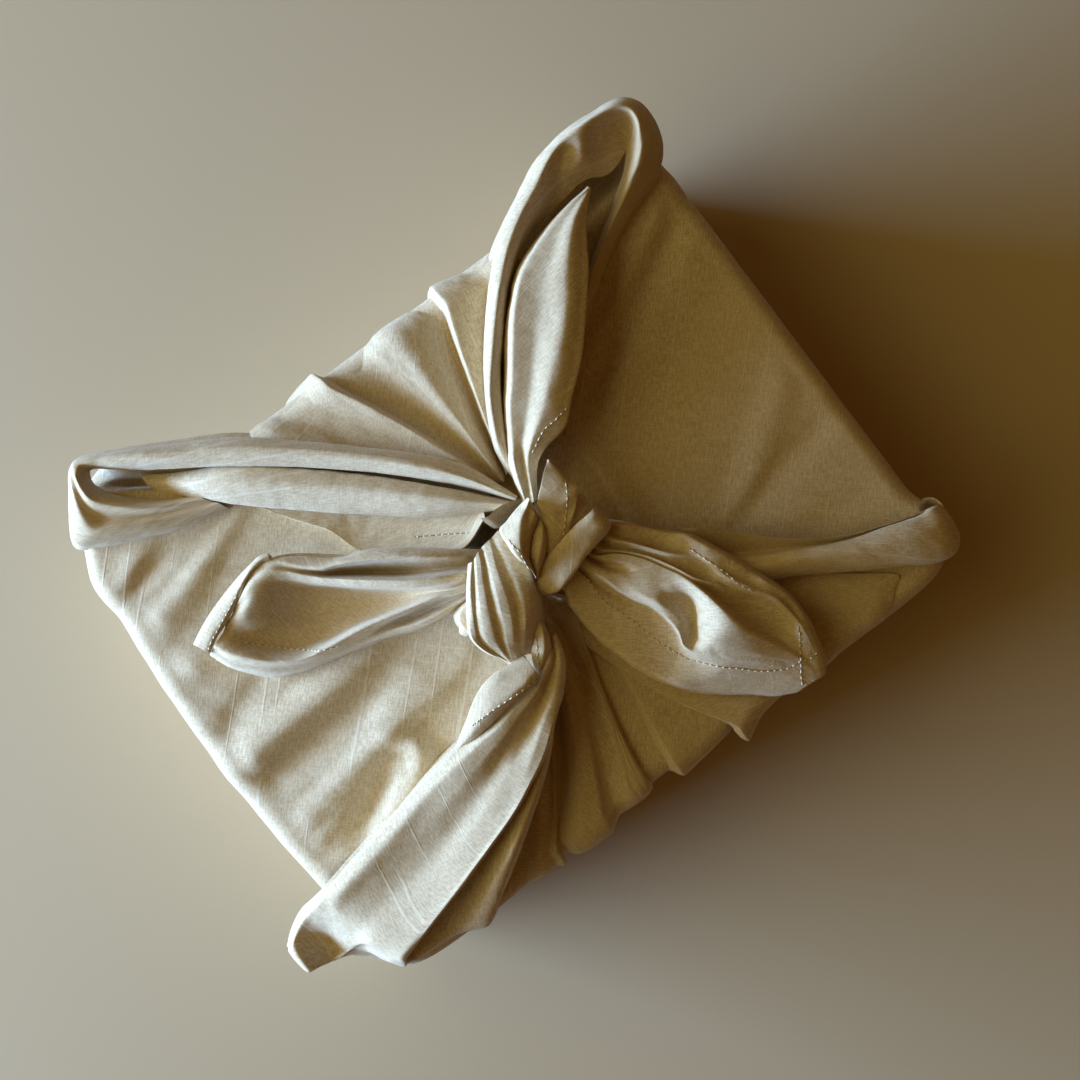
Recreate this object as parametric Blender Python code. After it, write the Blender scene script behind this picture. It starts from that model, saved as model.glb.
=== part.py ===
"""A furoshiki: one hemmed square of soft cotton wrapped round a flat gift box and tied on top.

The wrapped box is not modelled; the cloth is one solid with the wrap's outer form. Metres, +Z up,
+X along the long side, the origin at the middle of the base. Tables below are in millimetres.
"""

from collections import namedtuple
from math import cos, pi, radians, sin

import bmesh
import bpy
import numpy as np

# Driving sizes, in millimetres.
LENGTH = 264.0  # wrapped box, long side
WIDTH = 200.0  # wrapped box, short side
HEIGHT = 70.0  # top of the cloth over the box
CORNER = 16.0  # exponent of the rounded rectangle: higher is squarer
EDGE_ROUND = 7.0  # radius where the top turns down into the sides
FOOT_ROUND = 3.0  # radius where the sides turn under
SIDE_TUCK = 2.0  # how far the sides draw in at the bottom
MOUND = 13.0  # rise of the gathered cloth under the knot
MOUND_REACH = 34.0
SHEET = 2.0  # thickness of a tail: two layers of cloth with air between
MM = 0.001
UP = (0.0, 0.0, 1.0)
GROOVE_WIDTH = 0.3  # of a rolled edge's groove, as a share of its half-width
SIDE_SWELL = 0.6  # how much of a fold's height shows where it runs down a side

# Mesh density.
AROUND = 132
TOP_RINGS = 12
SIDE_RINGS = 4
ROUND_STEPS = (30, 60, 90)  # degrees round the top edge

KNOT = (2.0, -1.0)  # where every fold runs to, seen from above

# Ears: cloth standing out past the rounded rectangle at the corners where the folds loop over.
# along: place of the crest on the side, reach: how far out, before/after: half-widths.
Ear = namedtuple("Ear", "side along reach before after")
EARS = (
    Ear("back", -112, 25, 21, 62),
    Ear("back", 117, 16, 58, 22),
    Ear("right", -80, 4, 16, 16),
    Ear("front", 22, 3, 30, 20),
    Ear("back", -2, 2, 40, 40),
)

# Folds of the skin, each from near the knot (x0, y0) out to (x1, y1).
# rise0/rise1: height at the inner and outer end (negative is a trough), wide0/wide1: half-widths,
# lean: -1..1, steeper on the right-hand (+) or left-hand (-) side, drop: how far it runs down a side.
Fold = namedtuple("Fold", "x0 y0 x1 y1 bow rise0 rise1 wide0 wide1 lean drop")
FOLDS = (
    # back fan
    Fold(2, 38, -44, 98, 0, 2, 3, 5, 10, 0.2, 30),
    Fold(10, 30, -18, 103, 2, 5, 7, 5, 11, 0.5, 45),
    Fold(13, 32, 13, 101, 1, 5, 6, 7, 13, 0.3, 55),
    Fold(18, 45, 26, 96, 0, -5, -3, 5, 8, 0.0, 10),
    Fold(15, 32, 36, 103, -2, 5, 7, 4, 9, -0.5, 50),
    Fold(24, 48, 56, 98, 0, 2, 3, 4, 9, 0.0, 30),
    # front fan
    Fold(-22, -50, -60, -92, 0, -7, -6, 6, 9, 0.0, 10),
    Fold(-18, -45, -44, -98, 2, 5, 6, 5, 10, -0.3, 45),
    Fold(0, -40, -24, -101, -2, 5, 7, 6, 12, 0.2, 55),
    Fold(4, -60, 0, -101, 0, 2, 4, 4, 9, 0.0, 30),
    Fold(0, -26, 28, -105, 2, 6, 7, 5, 11, 0.5, 50),
    Fold(30, -50, 68, -101, 0, 3, 4, 8, 13, 0.0, 40),
    Fold(45, -55, 92, -98, 0, 2, 3, 6, 11, 0.0, 40),
    # left flap: soft drag lines from the knot towards the short side
    Fold(-72, 84, -112, 66, 0, 1, 3, 6, 8, 0.0, 0),
    Fold(-62, 62, -118, 42, 2, 2, 2.5, 6, 9, 0.0, 0),
    Fold(-36, 2, -120, 9, 3, 3, 3.5, 7, 9, 0.2, 0),
    Fold(-42, -16, -108, -20, 1, 2, 4, 6, 9, 0.0, 0),
    Fold(-68, -32, -106, -46, 3, 3, 4, 6, 9, 0.2, 0),
    # right flap: nearly flat, long soft lines beside the rolled edge
    Fold(66, 42, 122, 78, 0, 2, 3, 5, 9, 0.0, 0),
    Fold(74, 24, 122, 54, 0, 1, 2, 6, 10, 0.0, 0),
    Fold(44, 30, 44, -16, 0, 3, 3, 5, 5, -0.5, 0),
    # the open mouths of the two ears
    Fold(-82, 97, -112, 121, 0, -5, -15, 3, 7, 0.0, 0),
    Fold(88, 84, 120, 106, 0, -6, -14, 8, 10, 0.0, 0),
)

# Rolled edges of the fans, laid over the box corners. z is the height of the crest.
Roll = namedtuple("Roll", "x y z wide tall groove")
ROLLS = {
    "left_roll": (
        Roll(9, 22, 84, 12, 12, 0.0),
        Roll(-3, 33, 82, 19, 11, 0.15),
        Roll(-20, 50, 79.5, 23, 10, 0.25),
        Roll(-38, 68, 78, 26, 10, 0.3),
        Roll(-64, 89, 76.5, 26, 9, 0.3),
        Roll(-90, 111, 75, 17, 9, 0.1),
        Roll(-110, 122, 72.5, 9, 8, 0.0),
    ),
    "left_lip": (
        Roll(-108, 122, 73, 7, 7, 0.0),
        Roll(-124, 113, 73.5, 10, 8, 0.0),
        Roll(-117, 101, 74, 11, 7, 0.0),
        Roll(-98, 92, 73.5, 10, 6, 0.0),
        Roll(-78, 85, 72.5, 7, 4, 0.0),
    ),
    "back_roll": (
        Roll(14, 28, 88, 8, 13, 0.0),
        Roll(27, 51, 86, 10, 15, 0.0),
        Roll(45, 74, 84, 11, 15, 0.0),
        Roll(66, 94, 81, 11, 13, 0.0),
        Roll(88, 106, 78, 11, 11, 0.0),
        Roll(107, 110, 77, 10, 11, 0.0),
        Roll(125, 109, 76, 9, 10, 0.0),
        Roll(129, 97, 76.5, 9, 8, 0.0),
        Roll(115, 85, 76, 9, 7, 0.0),
        Roll(93, 70, 75, 6, 6, 0.0),
        Roll(72, 54, 73, 4, 4, 0.0),
    ),
    "right_roll": (
        Roll(30, -16, 86, 16, 12, 0.0),
        Roll(48, -31, 80, 20, 9, 0.1),
        Roll(74, -51, 76, 18, 8, 0.25),
        Roll(101, -67, 75, 17, 7, 0.3),
        Roll(120, -78, 74, 20, 8, 0.3),
        Roll(129, -84, 69, 20, 9, 0.2),
        Roll(131, -86, 56, 14, 8, 0.0),
    ),
    "front_roll": (
        Roll(-10, -28, 84, 12, 12, 0.0),
        Roll(-27, -50, 79, 15, 10, 0.2),
        Roll(-48, -65, 77, 18, 9, 0.3),
        Roll(-70, -79, 75, 20, 8, 0.3),
        Roll(-92, -89, 73, 20, 8, 0.2),
        Roll(-106, -94, 68, 16, 9, 0.0),
    ),
}

# Free tails: along the axis, the edges to its left and right, height, hump across the middle and
# height of the gathers that run out of the knot.
Leaf = namedtuple("Leaf", "along left right z hump gather")
Tail = namedtuple("Tail", "x y heading sheet rows")
TAILS = {
    "left_tail": Tail(
        -20,
        8,
        158.5,
        SHEET,
        (
            Leaf(-12, 6, 7, 86, 3, 1),
            Leaf(0, 7, 10, 87, 4, 1.5),
            Leaf(13, 8, 14, 85, 4, 1.5),
            Leaf(30, 10, 17, 82, 2, 1.0),
            Leaf(50, 14, 22.5, 80, -1, 0.5),
            Leaf(68, 16.5, 24.5, 80, -3, 0),
            Leaf(82, 13, 15, 80, -2, 0),
            Leaf(92, 8, 8, 79, 0, 0),
            Leaf(100, 1, 2, 78, 0, 0),
        ),
    ),
    "right_tail": Tail(
        18,
        -14,
        -62,
        SHEET,
        (
            Leaf(-10, 8, 8, 85, 3, 1),
            Leaf(0, 12.5, 12, 86, 4, 2),
            Leaf(14, 21, 19, 83, 5, 2),
            Leaf(34, 24.5, 24, 80, 6, 1.2),
            Leaf(53, 23.5, 26, 79, 6, 0.6),
            Leaf(71, 19, 19, 78, 5, 0),
            Leaf(88, 9.5, 11.5, 76, 2, 0),
            Leaf(97, 2, 4, 75, 0, 0),
        ),
    ),
    "front_tail": Tail(
        -20,
        -30,
        201.8,
        SHEET + 1,
        (
            Leaf(-8, 7, 6, 85, 2, 1),
            Leaf(0, 10, 6, 85, 3, 1.5),
            Leaf(15, 17, 5, 82, 4, 1.5),
            Leaf(36, 21, 5, 80, 5, 1),
            Leaf(56, 23, 5.5, 79, 5, 0.5),
            Leaf(80, 23, 9.5, 78, 4, 0),
            Leaf(103, 22, 14.5, 76, 4, 0),
            Leaf(120, 19, 20, 72, 3, 0),
            Leaf(130, 4, 21, 68, 1, 0),
            Leaf(143, -11, 19, 62, 0, 0),
        ),
    ),
    "back_tail": Tail(
        20,
        22,
        41.2,
        SHEET,
        (
            Leaf(-8, 5, 5, 85, 2, 1),
            Leaf(0, 5, 5, 86, 3, 1),
            Leaf(13, 9, 7, 85, 5, 1),
            Leaf(27, 13, 9.5, 84, 6, 0.8),
            Leaf(45, 16, 10, 83, 6, 0.4),
            Leaf(60, 18, 8.5, 82, 5, 0),
            Leaf(73, 18, 6, 80, 4, 0),
            Leaf(88, 12, 3.5, 78, 2, 0),
            Leaf(106, 2, 1, 74, 0, 0),
        ),
    ),
}
GATHERS = 4  # gathers across a tail where it leaves the knot

# Bands of the knot, as centre lines with the width across and the thickness of the cloth bundle.
Band = namedtuple("Band", "x y z wide tall")
BANDS = {
    "knob": (
        Band(15, 15, 84, 8, 10),
        Band(10, 11, 95, 15, 18),
        Band(4, 6, 100, 22, 20),
        Band(-7, -1, 101, 28, 22),
        Band(-14, -9, 98, 30, 22),
        Band(-19, -16, 93, 27, 20),
        Band(-23, -24, 86, 18, 16),
        Band(-24, -29, 79, 9, 10),
    ),
    "cross_band": (
        Band(33, -4, 82, 14, 7),
        Band(30, -5, 91, 18, 8),
        Band(17, -9, 95, 19, 9),
        Band(4, -13, 91, 16, 8),
        Band(-2, -16, 82, 10, 7),
    ),
    "under_band": (
        Band(25, 25, 80, 14, 8),
        Band(24, 18, 89, 19, 9),
        Band(21, 7, 92, 24, 10),
        Band(16, -6, 90, 20, 9),
    ),
    "knot_core": (
        Band(26, 8, 78, 14, 12),
        Band(14, 6, 82, 32, 20),
        Band(-4, -4, 82, 38, 22),
        Band(-20, -14, 80, 30, 18),
        Band(-31, -19, 80, 10, 10),
    ),
}
BAND_PLEATS = 7
BAND_RIDGE = 0.05

LINEN = (0.60, 0.48, 0.31, 1.0)


def clear_scene():
    for obj in list(bpy.data.objects):
        bpy.data.objects.remove(obj, do_unlink=True)


def ease(t):
    t = np.clip(t, 0.0, 1.0)
    return t * t * (3 - 2 * t)


def bump(distance, half_width):
    """A smooth hump: 1 in the middle, 0 from half_width on."""
    return np.cos(np.clip(np.abs(distance) / half_width, 0, 1) * pi / 2) ** 2


def sample(rows, count):
    """Every column of a table read at `count` even steps of a smooth curve through its rows."""
    table = np.array([tuple(row) for row in rows], float)
    last = len(table) - 1
    place = np.linspace(0, last, count)
    k = np.minimum(place.astype(int), last - 1)
    t = (place - k)[:, None]
    slope = np.gradient(table, axis=0)
    a, b, ma, mb = table[k], table[k + 1], slope[k], slope[k + 1]
    return (
        (2 * t**3 - 3 * t**2 + 1) * a
        + (t**3 - 2 * t**2 + t) * ma
        + (3 * t**2 - 2 * t**3) * b
        + (t**3 - t**2) * mb
    )


def mesh_object(name, points, faces):
    mesh = bpy.data.meshes.new(name)
    mesh.from_pydata((np.asarray(points) * MM).tolist(), [], faces)
    mesh.shade_smooth()
    obj = bpy.data.objects.new(name, mesh)
    bpy.context.scene.collection.objects.link(obj)
    return obj


def tube_faces(rings, around):
    """Quads between closed rings of points, with both end rings closed by a face."""
    faces = [
        (r * around + i, r * around + j, (r + 1) * around + j, (r + 1) * around + i)
        for r in range(rings - 1)
        for i, j in zip(range(around), [*range(1, around), 0])
    ]
    faces.append(tuple(reversed(range(around))))
    faces.append(tuple((rings - 1) * around + i for i in range(around)))
    return faces


def rounded_rectangle(angle):
    c, s = np.cos(angle), np.sin(angle)
    reach = (np.abs(2 * c / LENGTH) ** CORNER + np.abs(2 * s / WIDTH) ** CORNER) ** (-1 / CORNER)
    return c * reach, s * reach


def rim():
    """The outline of the wrapped box at even steps round it: points and outward directions."""
    fine = np.linspace(0, 2 * pi, 4000)
    x, y = rounded_rectangle(fine)
    walked = np.concatenate([[0], np.cumsum(np.hypot(np.diff(x), np.diff(y)))])
    step = np.linspace(0, walked[-1], AROUND, endpoint=False)
    x, y = rounded_rectangle(np.interp(step, walked, fine))
    ahead_x, ahead_y = np.roll(x, -1) - np.roll(x, 1), np.roll(y, -1) - np.roll(y, 1)
    size = np.hypot(ahead_x, ahead_y)
    return np.stack([x, y], 1), np.stack([ahead_y / size, -ahead_x / size], 1)


def ear_push(points):
    """How far the ears push each outline point out, as a vector."""
    x, y = points[:, 0], points[:, 1]
    push = np.zeros_like(points)
    for ear in EARS:
        axis = 1 if ear.side in ("back", "front") else 0
        sign = 1 if ear.side in ("back", "right") else -1
        offset = (x if axis == 1 else y) - ear.along
        width = np.where(offset < 0, ear.before, ear.after)
        near = ease((sign * points[:, axis] / (WIDTH if axis == 1 else LENGTH) * 2 - 0.75) / 0.2)
        push[:, axis] += sign * ear.reach * bump(offset, width) * near
    return push


def fold_height(x, y, drop):
    """Height of all folds over the smooth skin at (x, y), `drop` millimetres down a side."""
    total = np.zeros_like(x)
    for fold in FOLDS:
        run_x, run_y = fold.x1 - fold.x0, fold.y1 - fold.y0
        size = np.hypot(run_x, run_y)
        dx, dy = x - fold.x0, y - fold.y0
        t = (dx * run_x + dy * run_y) / size**2
        inside = np.clip(t, 0, 1)
        across = (dx * run_y - dy * run_x) / size + fold.bow * 4 * inside * (1 - inside)
        width = fold.wide0 + (fold.wide1 - fold.wide0) * inside
        width = width * np.where(across > 0, 1 - fold.lean, 1 + fold.lean)
        rise = fold.rise0 + (fold.rise1 - fold.rise0) * inside
        start = ease((t + 0.12) / 0.24)
        if fold.drop:
            end = ease(1 - drop / fold.drop)
        else:
            end = ease((1.1 - t) / 0.2) * (drop < 1)
        total += rise * bump(across, width) * start * end
    return total


def folded_ring(flat, level, outward, drop, facing_up):
    """One ring of the skin: plan points at a level, its folds raised square to the surface."""
    lift = fold_height(flat[:, 0], flat[:, 1], drop)
    out = flat + outward * (lift * SIDE_SWELL * np.sqrt(1 - facing_up**2))[:, None]
    return np.column_stack([out, level + lift * facing_up])


def wrapped_body():
    """The skin over the box: flat base, sides, and the folded top that rises to the knot."""
    outline, outward = rim()
    ears = ear_push(outline)
    centre = np.array(KNOT)
    top_edge = outline + ears - outward * EDGE_ROUND
    rings = []
    for k in range(1, TOP_RINGS + 1):
        flat = centre + (top_edge - centre) * (k / TOP_RINGS) ** 0.9
        away = np.hypot(*(flat - centre).T)
        level = HEIGHT + MOUND * np.exp(-((away / MOUND_REACH) ** 2))
        rings.append(folded_ring(flat, level, outward, 0.0, 1.0))
    for a in np.radians(ROUND_STEPS):
        flat = outline + ears - outward * EDGE_ROUND * (1 - sin(a))
        level = HEIGHT - EDGE_ROUND * (1 - cos(a))
        rings.append(folded_ring(flat, level, outward, EDGE_ROUND * a, cos(a)))
    for k in range(1, SIDE_RINGS + 1):
        share = k / SIDE_RINGS
        level = HEIGHT - EDGE_ROUND - (HEIGHT - EDGE_ROUND - FOOT_ROUND) * share
        flat = outline + ears * (1 - ease(share * 1.05)) - outward * SIDE_TUCK * share
        rings.append(folded_ring(flat, level, outward, HEIGHT - level, 0.0))
    foot = outline - outward * (SIDE_TUCK + FOOT_ROUND)
    rings.append(np.column_stack([foot, np.zeros(AROUND)]))
    points = np.vstack([*rings, [[*KNOT, HEIGHT + MOUND]]])
    faces = [
        (r * AROUND + i, (r + 1) * AROUND + i, (r + 1) * AROUND + j, r * AROUND + j)
        for r in range(len(rings) - 1)
        for i, j in zip(range(AROUND), [*range(1, AROUND), 0])
    ]
    faces += [(len(points) - 1, i, (i + 1) % AROUND) for i in range(AROUND)]
    faces.append(tuple(len(points) - 2 - i for i in range(AROUND)))
    return mesh_object("wrapping_cloth", points, faces)


def frames(path):
    """Unit tangent, sideways and upward directions along a path."""
    tangent = np.gradient(path, axis=0)
    tangent /= np.linalg.norm(tangent, axis=1)[:, None]
    side = np.cross(tangent, [0, 0, 1.0])
    side /= np.linalg.norm(side, axis=1)[:, None]
    return tangent, side, np.cross(side, tangent)


def roll(name, rows, sections=15, around=10):
    """A rolled edge: a domed section with a soft groove, sunk into the skin under it."""
    table = sample(rows, sections)
    _, side, _ = frames(table[:, :3] * (1, 1, 0))
    turn = np.linspace(0, 2 * pi, around, endpoint=False) + pi / around
    across, above = np.cos(turn), np.sin(turn)
    dip = np.exp(-((across / GROOVE_WIDTH) ** 2)) * (above > 0)
    points = []
    for (x, y, crest, wide, tall, groove), sideways in zip(table, side):
        middle = np.array([x, y, crest - tall])
        height = above * tall * (1 - groove * dip)
        points.append(middle + np.outer(across * wide / 2, sideways) + np.outer(height, UP))
    return mesh_object(name, np.vstack(points), tube_faces(sections, around))


def tail(name, spec, sections=13, across=9):
    """A free tail: a sheet cut to a leaf, humped across its middle and gathered at the knot."""
    heading = radians(spec.heading)
    ahead = np.array([cos(heading), sin(heading), 0])
    leftward = np.array([-sin(heading), cos(heading), 0])
    share = np.linspace(0, 1, across)
    points = []
    for along, left, right, z, hump, gather in sample(spec.rows, sections):
        lateral = left - (left + right) * share
        height = z + hump * np.sin(share * pi) + gather * np.cos(2 * pi * GATHERS * share)
        middle = np.array([spec.x, spec.y, 0]) + ahead * along + np.outer(lateral, leftward)
        upper = middle + np.outer(height + spec.sheet / 2, UP)
        lower = middle + np.outer(height - spec.sheet / 2, UP)
        points.append(np.vstack([upper, lower[::-1]]))
    return mesh_object(name, np.vstack(points), tube_faces(sections, 2 * across))


def band(name, rows, sections=11, around=14):
    """One band of the knot: an oval section with pleats along it."""
    table = sample(rows, sections)
    _, side, up = frames(table[:, :3])
    turn = np.linspace(0, 2 * pi, around, endpoint=False)
    ridge = 1 + BAND_RIDGE * np.cos(BAND_PLEATS * turn)
    points = [
        row[:3]
        + np.outer(np.cos(turn) * ridge * row[3] / 2, sideways)
        + np.outer(np.sin(turn) * ridge * row[4] / 2, upwards)
        for row, sideways, upwards in zip(table, side, up)
    ]
    return mesh_object(name, np.vstack(points), tube_faces(sections, around))


def flat_outward_faces(obj):
    """Splits a closed mesh into flat triangles, all facing outward."""
    work = bmesh.new()
    work.from_mesh(obj.data)
    bmesh.ops.triangulate(work, faces=work.faces)
    bmesh.ops.recalc_face_normals(work, faces=work.faces)
    work.to_mesh(obj.data)
    work.free()


def linen():
    material = bpy.data.materials.new("natural_cotton")
    material.use_nodes = True
    shader = material.node_tree.nodes["Principled BSDF"]
    shader.inputs["Base Color"].default_value = LINEN
    shader.inputs["Roughness"].default_value = 0.85
    shader.inputs["Metallic"].default_value = 0.0
    return material


def main():
    clear_scene()
    cloth = wrapped_body()
    cloth.data.materials.append(linen())
    laid = [roll(name, rows) for name, rows in ROLLS.items()]
    laid += [tail(name, spec) for name, spec in TAILS.items()]
    laid += [band(name, rows) for name, rows in BANDS.items()]
    for obj in (cloth, *laid):
        flat_outward_faces(obj)
    for obj in laid:
        obj.hide_render = True
        obj.display_type = "WIRE"
        join = cloth.modifiers.new(f"join_{obj.name}", "BOOLEAN")
        join.operation = "UNION"
        join.solver = "EXACT"
        join.object = obj


main()
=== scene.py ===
from collections import namedtuple
from math import cos, pi, radians, sin

import bmesh
import bpy
import numpy as np
from mathutils import Matrix, Vector
from mathutils.bvhtree import BVHTree


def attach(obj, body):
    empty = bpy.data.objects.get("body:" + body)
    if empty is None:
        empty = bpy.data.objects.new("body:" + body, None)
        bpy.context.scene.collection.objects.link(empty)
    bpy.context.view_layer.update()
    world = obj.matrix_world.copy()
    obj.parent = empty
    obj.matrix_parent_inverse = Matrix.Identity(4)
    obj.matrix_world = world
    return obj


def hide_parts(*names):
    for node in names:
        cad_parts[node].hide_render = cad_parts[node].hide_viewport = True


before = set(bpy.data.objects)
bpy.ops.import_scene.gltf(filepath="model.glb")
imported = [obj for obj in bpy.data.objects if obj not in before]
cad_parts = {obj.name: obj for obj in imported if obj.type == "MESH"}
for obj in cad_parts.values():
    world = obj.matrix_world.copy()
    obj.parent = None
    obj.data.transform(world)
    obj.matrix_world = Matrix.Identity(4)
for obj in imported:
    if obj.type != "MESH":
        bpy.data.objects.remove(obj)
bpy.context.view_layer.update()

# ---------------------------------------------------------------------------------------------
# The cloth over the box: its base, its four sides and the two smooth flaps.
# One 0.70 m square of soft unbleached cotton in plain weave, with slubs in both thread
# directions. It lies diagonally, so its threads run at 45 degrees to the sides of the box.
# ---------------------------------------------------------------------------------------------
MM = 0.001
LENGTH = 264.0  # the wrapped box in millimetres, as every size below
WIDTH = 200.0
HEIGHT = 70.0
CORNER = 16.0  # exponent of the rounded rectangle
EDGE_ROUND = 7.0
FOOT_ROUND = 3.0
SIDE_TUCK = 2.0  # how far in the foot stands
KNOT = np.array([2.0, -1.0])  # the middle of the rings of points, under the knot
MOUND = 12.0  # the rise of the cloth there
MOUND_REACH = 30.0
SKIN_AROUND = 640
SKIN_TOP_RINGS = 104
SKIN_SIDE_RINGS = 22
FIRST_RING = 0.01  # as a share of the way from the knot to the rim
FLATTEN_FROM = 0.93  # a crease sinks from here to the rim
FLATTEN_BY = 0.7
OVER_RIM = 0.3  # what is left of it where the cloth turns down
TAUT_WAVES = (0.30, 0.16)  # the heights of the slight waves in the taut cloth
SIDE_WAVES = (0.9, 0.35)
DRAWN = 0.35  # waves are longer along the way the cloth is drawn
BASE_WAVE = 0.25
LATTICE = 64  # random values each way behind the waves
LATTICE_START = 500
CREASE_STEPS = 16  # points from one station of a crease to the next
THREAD_TURN = radians(45)  # threads against the sides of the box
CLOTH = "cloth"


def ease(t):
    """0 below 0, 1 above 1, smooth between."""
    t = np.clip(t, 0.0, 1.0)
    return t * t * (3 - 2 * t)


def bump(distance, half_width):
    """A smooth hump: 1 in the middle, 0 from half_width on."""
    return np.cos(np.clip(np.abs(distance) / half_width, 0, 1) * pi / 2) ** 2


def flow(table, count, tight=False):
    """A smooth curve through the rows of a table, at `count` even steps of the row number."""
    table = np.asarray(table, float)
    last = len(table) - 1
    place = np.linspace(0, last, count)
    k = np.minimum(place.astype(int), last - 1)
    t = (place - k).reshape((-1,) + (1,) * (table.ndim - 1))
    if tight:  # no overshoot: flat at every high or low row
        step = np.diff(table, axis=0)
        before, after = np.concatenate([step[:1], step]), np.concatenate([step, step[-1:]])
        both = before * after
        slope = np.where(both > 0, 2 * both / np.where(both > 0, before + after, 1), 0)
    else:
        slope = np.gradient(table, axis=0)
    a, b, ma, mb = table[k], table[k + 1], slope[k], slope[k + 1]
    return (
        (2 * t**3 - 3 * t**2 + 1) * a
        + (t**3 - 2 * t**2 + t) * ma
        + (3 * t**2 - 2 * t**3) * b
        + (t**3 - t**2) * mb
    )


def ripple(x, y, grain, seed):
    """Smooth unevenness from -1 to 1 with features about `grain` millimetres wide."""
    lattice = np.random.default_rng(seed).uniform(-1, 1, (LATTICE, LATTICE))
    u, v = np.asarray(x) / grain + LATTICE_START, np.asarray(y) / grain + LATTICE_START
    i, j = np.floor(u).astype(int), np.floor(v).astype(int)
    s, t = ease(u - i), ease(v - j)
    i, j, i1, j1 = (place % LATTICE for place in (i, j, i + 1, j + 1))
    low = lattice[i, j] * (1 - s) + lattice[i1, j] * s
    high = lattice[i, j1] * (1 - s) + lattice[i1, j1] * s
    return low * (1 - t) + high * t


# A crease is a row of stations (x, y, rise, left, right) in plan: its height there (negative is a
# trough) and how wide its two flanks are, left and right of the way it runs.
def crease_height(creases, x, y):
    """The sum of all creases at each place."""
    total = np.zeros(x.shape)
    for crease in creases:
        stations = flow(crease, CREASE_STEPS * len(crease))
        steps = np.gradient(stations[:, :2], axis=0)
        reach = stations[:, 3:].max() + 1
        low, high = stations[:, :2].min(axis=0) - reach, stations[:, :2].max(axis=0) + reach
        near = np.nonzero((x > low[0]) & (x < high[0]) & (y > low[1]) & (y < high[1]))
        if not len(near[0]):
            continue
        dx, dy = x[near][:, None] - stations[:, 0], y[near][:, None] - stations[:, 1]
        nearest = np.argmin(dx**2 + dy**2, axis=1)
        pick = np.arange(len(nearest)), nearest
        away = np.hypot(dx[pick], dy[pick])
        left = steps[nearest, 0] * dy[pick] - steps[nearest, 1] * dx[pick] > 0
        width = np.where(left, stations[nearest, 3], stations[nearest, 4])
        total[near] += stations[nearest, 2] * bump(away, width)
    return total


def cloth_mesh(name, grid, flat, loop=False, cap=None, turn=THREAD_TURN):
    """A sheet from a grid of points (rows, columns, xyz) in millimetres.

    flat is where each point lies on the flat cloth, and becomes the UV map. loop joins the last
    column to the first, cap closes the last row with one point, and turn is the angle of the
    threads to the rows.
    """
    rows, columns = grid.shape[:2]
    r, c = np.indices((rows - 1, columns if loop else columns - 1))
    after = (c + 1) % columns
    this_row, next_row = r * columns, (r + 1) * columns
    faces = np.stack([this_row + c, this_row + after, next_row + after, next_row + c], 2)
    faces = faces.reshape(-1, 4).tolist()
    points = grid.reshape(-1, 3)
    places = flat.reshape(-1, 2)
    if cap is not None:
        points = np.vstack([points, cap])
        places = np.vstack([places, cap[:2]])
        ring = (rows - 1) * columns
        faces += [(ring + i, ring + (i + 1) % columns, len(points) - 1) for i in range(columns)]
    mesh = bpy.data.meshes.new(name)
    mesh.from_pydata((points * MM).tolist(), [], faces)
    mesh.update()
    turned = places @ np.array([[cos(turn), sin(turn)], [-sin(turn), cos(turn)]]) * MM
    corner = np.empty(len(mesh.loops), np.int32)
    mesh.loops.foreach_get("vertex_index", corner)
    mesh.uv_layers.new(name=CLOTH).data.foreach_set("uv", turned[corner].astype(np.float32).ravel())
    mesh.shade_smooth()
    obj = bpy.data.objects.new(name, mesh)
    bpy.context.scene.collection.objects.link(obj)
    return obj


def face_out(obj, outward):
    """Turns a sheet over if it looks against outward, which gives a direction for each place."""
    work = bmesh.new()
    work.from_mesh(obj.data)
    if sum(outward(f.calc_center_median()).dot(f.normal) * f.calc_area() for f in work.faces) < 0:
        bmesh.ops.reverse_faces(work, faces=work.faces)
    work.to_mesh(obj.data)
    work.free()
    return obj


class Sum:
    """A number socket of a shader tree that takes part in Python arithmetic."""

    def __init__(self, nodes, socket):
        self.nodes, self.socket = nodes, socket

    def _with(self, operation, first, second):
        return self.nodes.number("ShaderNodeMath", {"operation": operation}, {0: first, 1: second})

    def __add__(self, other):
        return self._with("ADD", self, other)

    __radd__ = __add__

    def __sub__(self, other):
        return self._with("SUBTRACT", self, other)

    def __rsub__(self, other):
        return self._with("SUBTRACT", other, self)

    def __mul__(self, other):
        return self._with("MULTIPLY", self, other)

    __rmul__ = __mul__

    def __truediv__(self, other):
        return self._with("DIVIDE", self, other)

    def __abs__(self):
        return self._with("ABSOLUTE", self, 0.0)


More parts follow.
